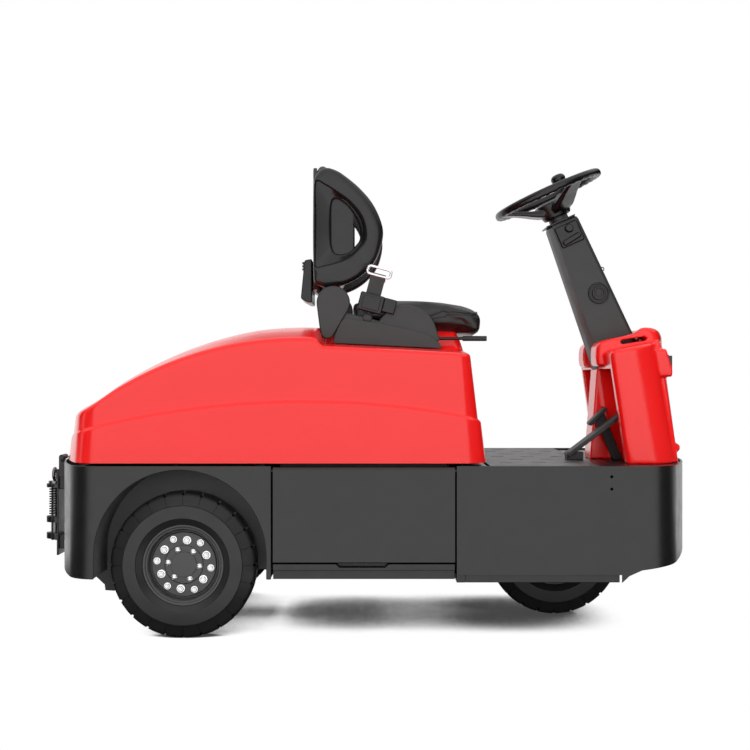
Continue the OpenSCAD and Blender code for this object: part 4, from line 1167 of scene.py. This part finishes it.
def collar_ring(y, share):
    """The collar's outline at a distance from the middle, drawn in towards its own middle."""
    ring = []
    for x, z in COLLAR:
        bow = 44 * (y / COLLAR_HALF) ** 2 * clamp01((x - 840) / 90)
        ring.append((mix(COLLAR_MIDDLE[0], x, share) - bow, y, mix(COLLAR_MIDDLE[1], z, share)))
    return metres(ring)


def lamp_pod(side):
    """A rounded block, leaning back at its top, round a headlamp."""
    pod = bmesh.new()
    for z in (LAMP_POD_LOW, LAMP_POD_HIGH):
        for y in (-40, 40):
            for x in (880, 954 - (z - LAMP_POD_LOW) * 0.3):
                for py, pz in arc((side * LAMP_POD_Y + y, z), LAMP_POD_R, 0, 345, 23):
                    pod.verts.new(metres([(x, py, pz)])[0])
    bmesh.ops.convex_hull(pod, input=pod.verts)
    return pod


def make_cowl():
    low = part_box("dash_cowl")[0].z / MM
    top = COWL_TOP - 12
    ears = [cowl_ring(COWL_FOOT, 0, 32, low, 0)]
    ears += [cowl_ring(top, inset, 54, top + up, 0.2) for inset, up in EAR_RIM]
    ends = [collar_ring(inset - COLLAR_HALF, share) for inset, share in COLLAR_ENDS]
    middle = [collar_ring(k * COLLAR_HALF, 1) for k in (-0.75, -0.5, -0.25, 0, 0.25, 0.5, 0.75)]
    others = [collar_ring(COLLAR_HALF - inset, share) for inset, share in reversed(COLLAR_ENDS)]
    post = metres([(734, low), (757, 800), (900, 800), (900, low)])
    shapes = [shape(*loft(ears)), shape(*loft(ends + middle + others)), prism(post, -0.06, 0.06, 0)]
    cutters = []
    for side in (-1, 1):
        def across(x0, x1, y0, y1, z0, z1):
            near, far = sorted((side * y0, side * y1))
            return block((x0, near, z0), (x1, far, z1))
        shapes += [lamp_pod(side), prism(metres(FRONT_BUMP), side * 0.188, side * 0.214, 0)]
        cutters += [across(700, 880, 62, EAR_INSIDE, low - 10, 782),
                    across(720, 742, COLLAR_HALF - 2, EAR_INSIDE, 700, 900),
                    across(930, 990, LAMP_POD_Y - 34, LAMP_POD_Y + 34, 775, 826)]
    cutters.append(block((-110, -74, -70), (75, 74, 200), 0, column_frame()))
    cutters.append(prism(metres(GRAB_SLOT), -0.192, 0.192, 0))
    obj = gather("dash_cowl_skin", shapes)
    remesh(obj, COWL_VOXEL)
    relax(obj, 3)
    cut(obj, cutters)
    remesh(obj, COWL_VOXEL)
    relax(obj, 5)
    thin_out(obj, 0.4)
    finish(obj, "dash_cowl", 50)


# Steering column: a lofted housing with a bulging rear face, a top plate, a neck, a switch and a round cap
# Height, rear, front and half width of the housing's sections
COLUMN_ROWS = ((-0.070, -0.096, 0.062, 0.065), (0.008, -0.089, 0.060, 0.065),
               (COLUMN_LEN - 0.012, -0.055, 0.050, 0.065), (COLUMN_LEN - 0.004, -0.051, 0.048, 0.062),
               (COLUMN_LEN, -0.046, 0.044, 0.056))
NECK = ((AXIS, 0), (0.034, 0), (0.034, 0.006), (0.032, 0.008), (0.032, 0.030), (0.030, 0.032), (0.012, 0.032),
        (0.012, 0.061), (AXIS, 0.061))
# A small wire loop on the front: its place and radius
LOOP = (0.058, -0.03, 0.215, 0.006)
SWITCH_KNOB = ((AXIS, 0), (0.0145, 0), (0.0145, 0.003), (0.0125, 0.005), (0.0120, 0.011), (0.0105, 0.0135),
               (AXIS, 0.014))
CAP_SPOT = (0.011, 0.149)
CAP_PROFILE = ((AXIS, 0), (0.034, 0), (0.034, 0.004), (0.0325, 0.0065), (0.0295, 0.0068), (0.0282, 0.005),
               (0.0280, 0.0012), (0.0225, 0.0012), (0.0222, 0.0050), (0.0205, 0.0068), (0.0165, 0.0070),
               (0.0150, 0.0058), (0.0148, 0.0030), (0.0100, 0.0030), (0.0098, 0.0056), (0.0085, 0.0064),
               (AXIS, 0.0068))


def column_ring(height, rear, front, half):
    edge = [(front, half - 0.014), (front - 0.002, half - 0.008), (front - 0.006, half - 0.003),
            (front - 0.014, half)]
    shares = (1, 0.97, 0.92, 0.8, 0.5, 0, -0.5, -0.8, -0.92, -0.97, -1)
    back = [(rear * (1 - 0.24 * abs(k) ** 1.15), k * half) for k in shares]
    return [(x, y, height) for x, y in edge + back + [(x, -y) for x, y in reversed(edge)]]


def make_column():
    where = column_frame()
    rows = [[where @ Vector(p) for p in column_ring(*row)] for row in COLUMN_ROWS]
    top = COLUMN_LEN / MM
    shapes = [shape(*loft(rows)), block((-54, -60, top), (44, 60, top + 5), 0.002, where),
              shape(*revolve(NECK, where @ Matrix.Translation((0, 0, COLUMN_LEN)), 48))]
    x, y, z, radius = LOOP
    loop = [where @ Vector((x + radius * math.cos(a), y, z + radius * math.sin(a)))
            for a in (2 * math.pi * i / 16 for i in range(16))]
    shapes.append(shape(*tube(loop, 0.0016, 8, True)))
    finish(gather("steering_column_skin", shapes), "steering_column", 45)
    side = where @ Matrix.Rotation(math.radians(90), 4, "X")
    tilt = where @ Matrix.Translation((0, 0, COLUMN_LEN - 0.065)) @ Matrix.Rotation(math.radians(-8), 4, "Y")
    shapes = [block((-38, -73, top - 82), (40, -60, top - 12), 0.006, where),
              block((-31, -84, -9), (33, -70, 9), 0.006, tilt),
              shape(*revolve(SWITCH_KNOB, side @ Matrix.Translation((0.006, COLUMN_LEN - 0.030, 0.072)), 32)),
              shape(*revolve(CAP_PROFILE, side @ Matrix.Translation((*CAP_SPOT, 0.0648)), 64))]
    finish(gather("column_switch_skin", shapes), "column_switch", 30)


# Hitch spring: a real coil of wire
SPRING_TURNS = 11
WIRE_R = 0.0025


def make_spring():
    low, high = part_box("hitch_spring")
    x, y = (low.x + high.x) / 2, (low.y + high.y) / 2
    radius = (high.x - low.x) / 2 - WIRE_R
    count = SPRING_TURNS * 20
    path = [(x + radius * math.cos(2 * math.pi * i / 20), y + radius * math.sin(2 * math.pi * i / 20),
             mix(low.z + WIRE_R, high.z - WIRE_R, i / count)) for i in range(count + 1)]
    obj = skin("hitch_spring_coil", *tube(path, WIRE_R, 8))
    place(obj, "chassis", "black_steel", ("hitch_spring",), 60)
    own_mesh(obj)


# Solids that are shown as they are, with their edges rounded by this much
DRESSED = {
    "main_frame": 0.002, "rear_shell": 0.002, "front_shell": 0.002, "side_sills": 0.0015,
    "floor_deck": 0.0015, "wheel_well_right": 0.001, "wheel_well_left": 0.001, "hood_hinge_leaves": 0.0008,
    "hood_hinge_bases": 0.0008, "seat_shell": 0.004, "headlamps": 0.001, "accelerator_pedal": 0.002,
    "brake_pedal": 0.002, "hitch_pin": 0.001, "rear_axle": 0.002, "drive_motor": 0.003, "battery": 0.003,
    "front_fork": 0.002, "battery_door_right": 0.0015, "battery_door_left": 0.0015, "seat_lever": 0.001,
}
# The wheel wells take a grey with painted light in it, lighter than the chassis paint, to brighten their shaded
# inside.
PAINTED_LIGHT_FINISH = {"wheel_well_right": "well_grey_painted_light", "wheel_well_left": "well_grey_painted_light"}

MATERIALS = make_materials()
make_camera()
make_world()
make_floor()
make_hood()
for wheel in WHEELS:
    make_tyre(*wheel)
    make_rim(*wheel)
make_steering_wheel()
make_seat()
make_belt()
make_spring()
make_seat_base()
make_seat_fittings()
make_hitch()
make_mat()
make_cowl()
make_column()
for name, width in DRESSED.items():
    dress(name, width, material=PAINTED_LIGHT_FINISH.get(name))

bpy.context.scene.view_settings.view_transform = "Standard"
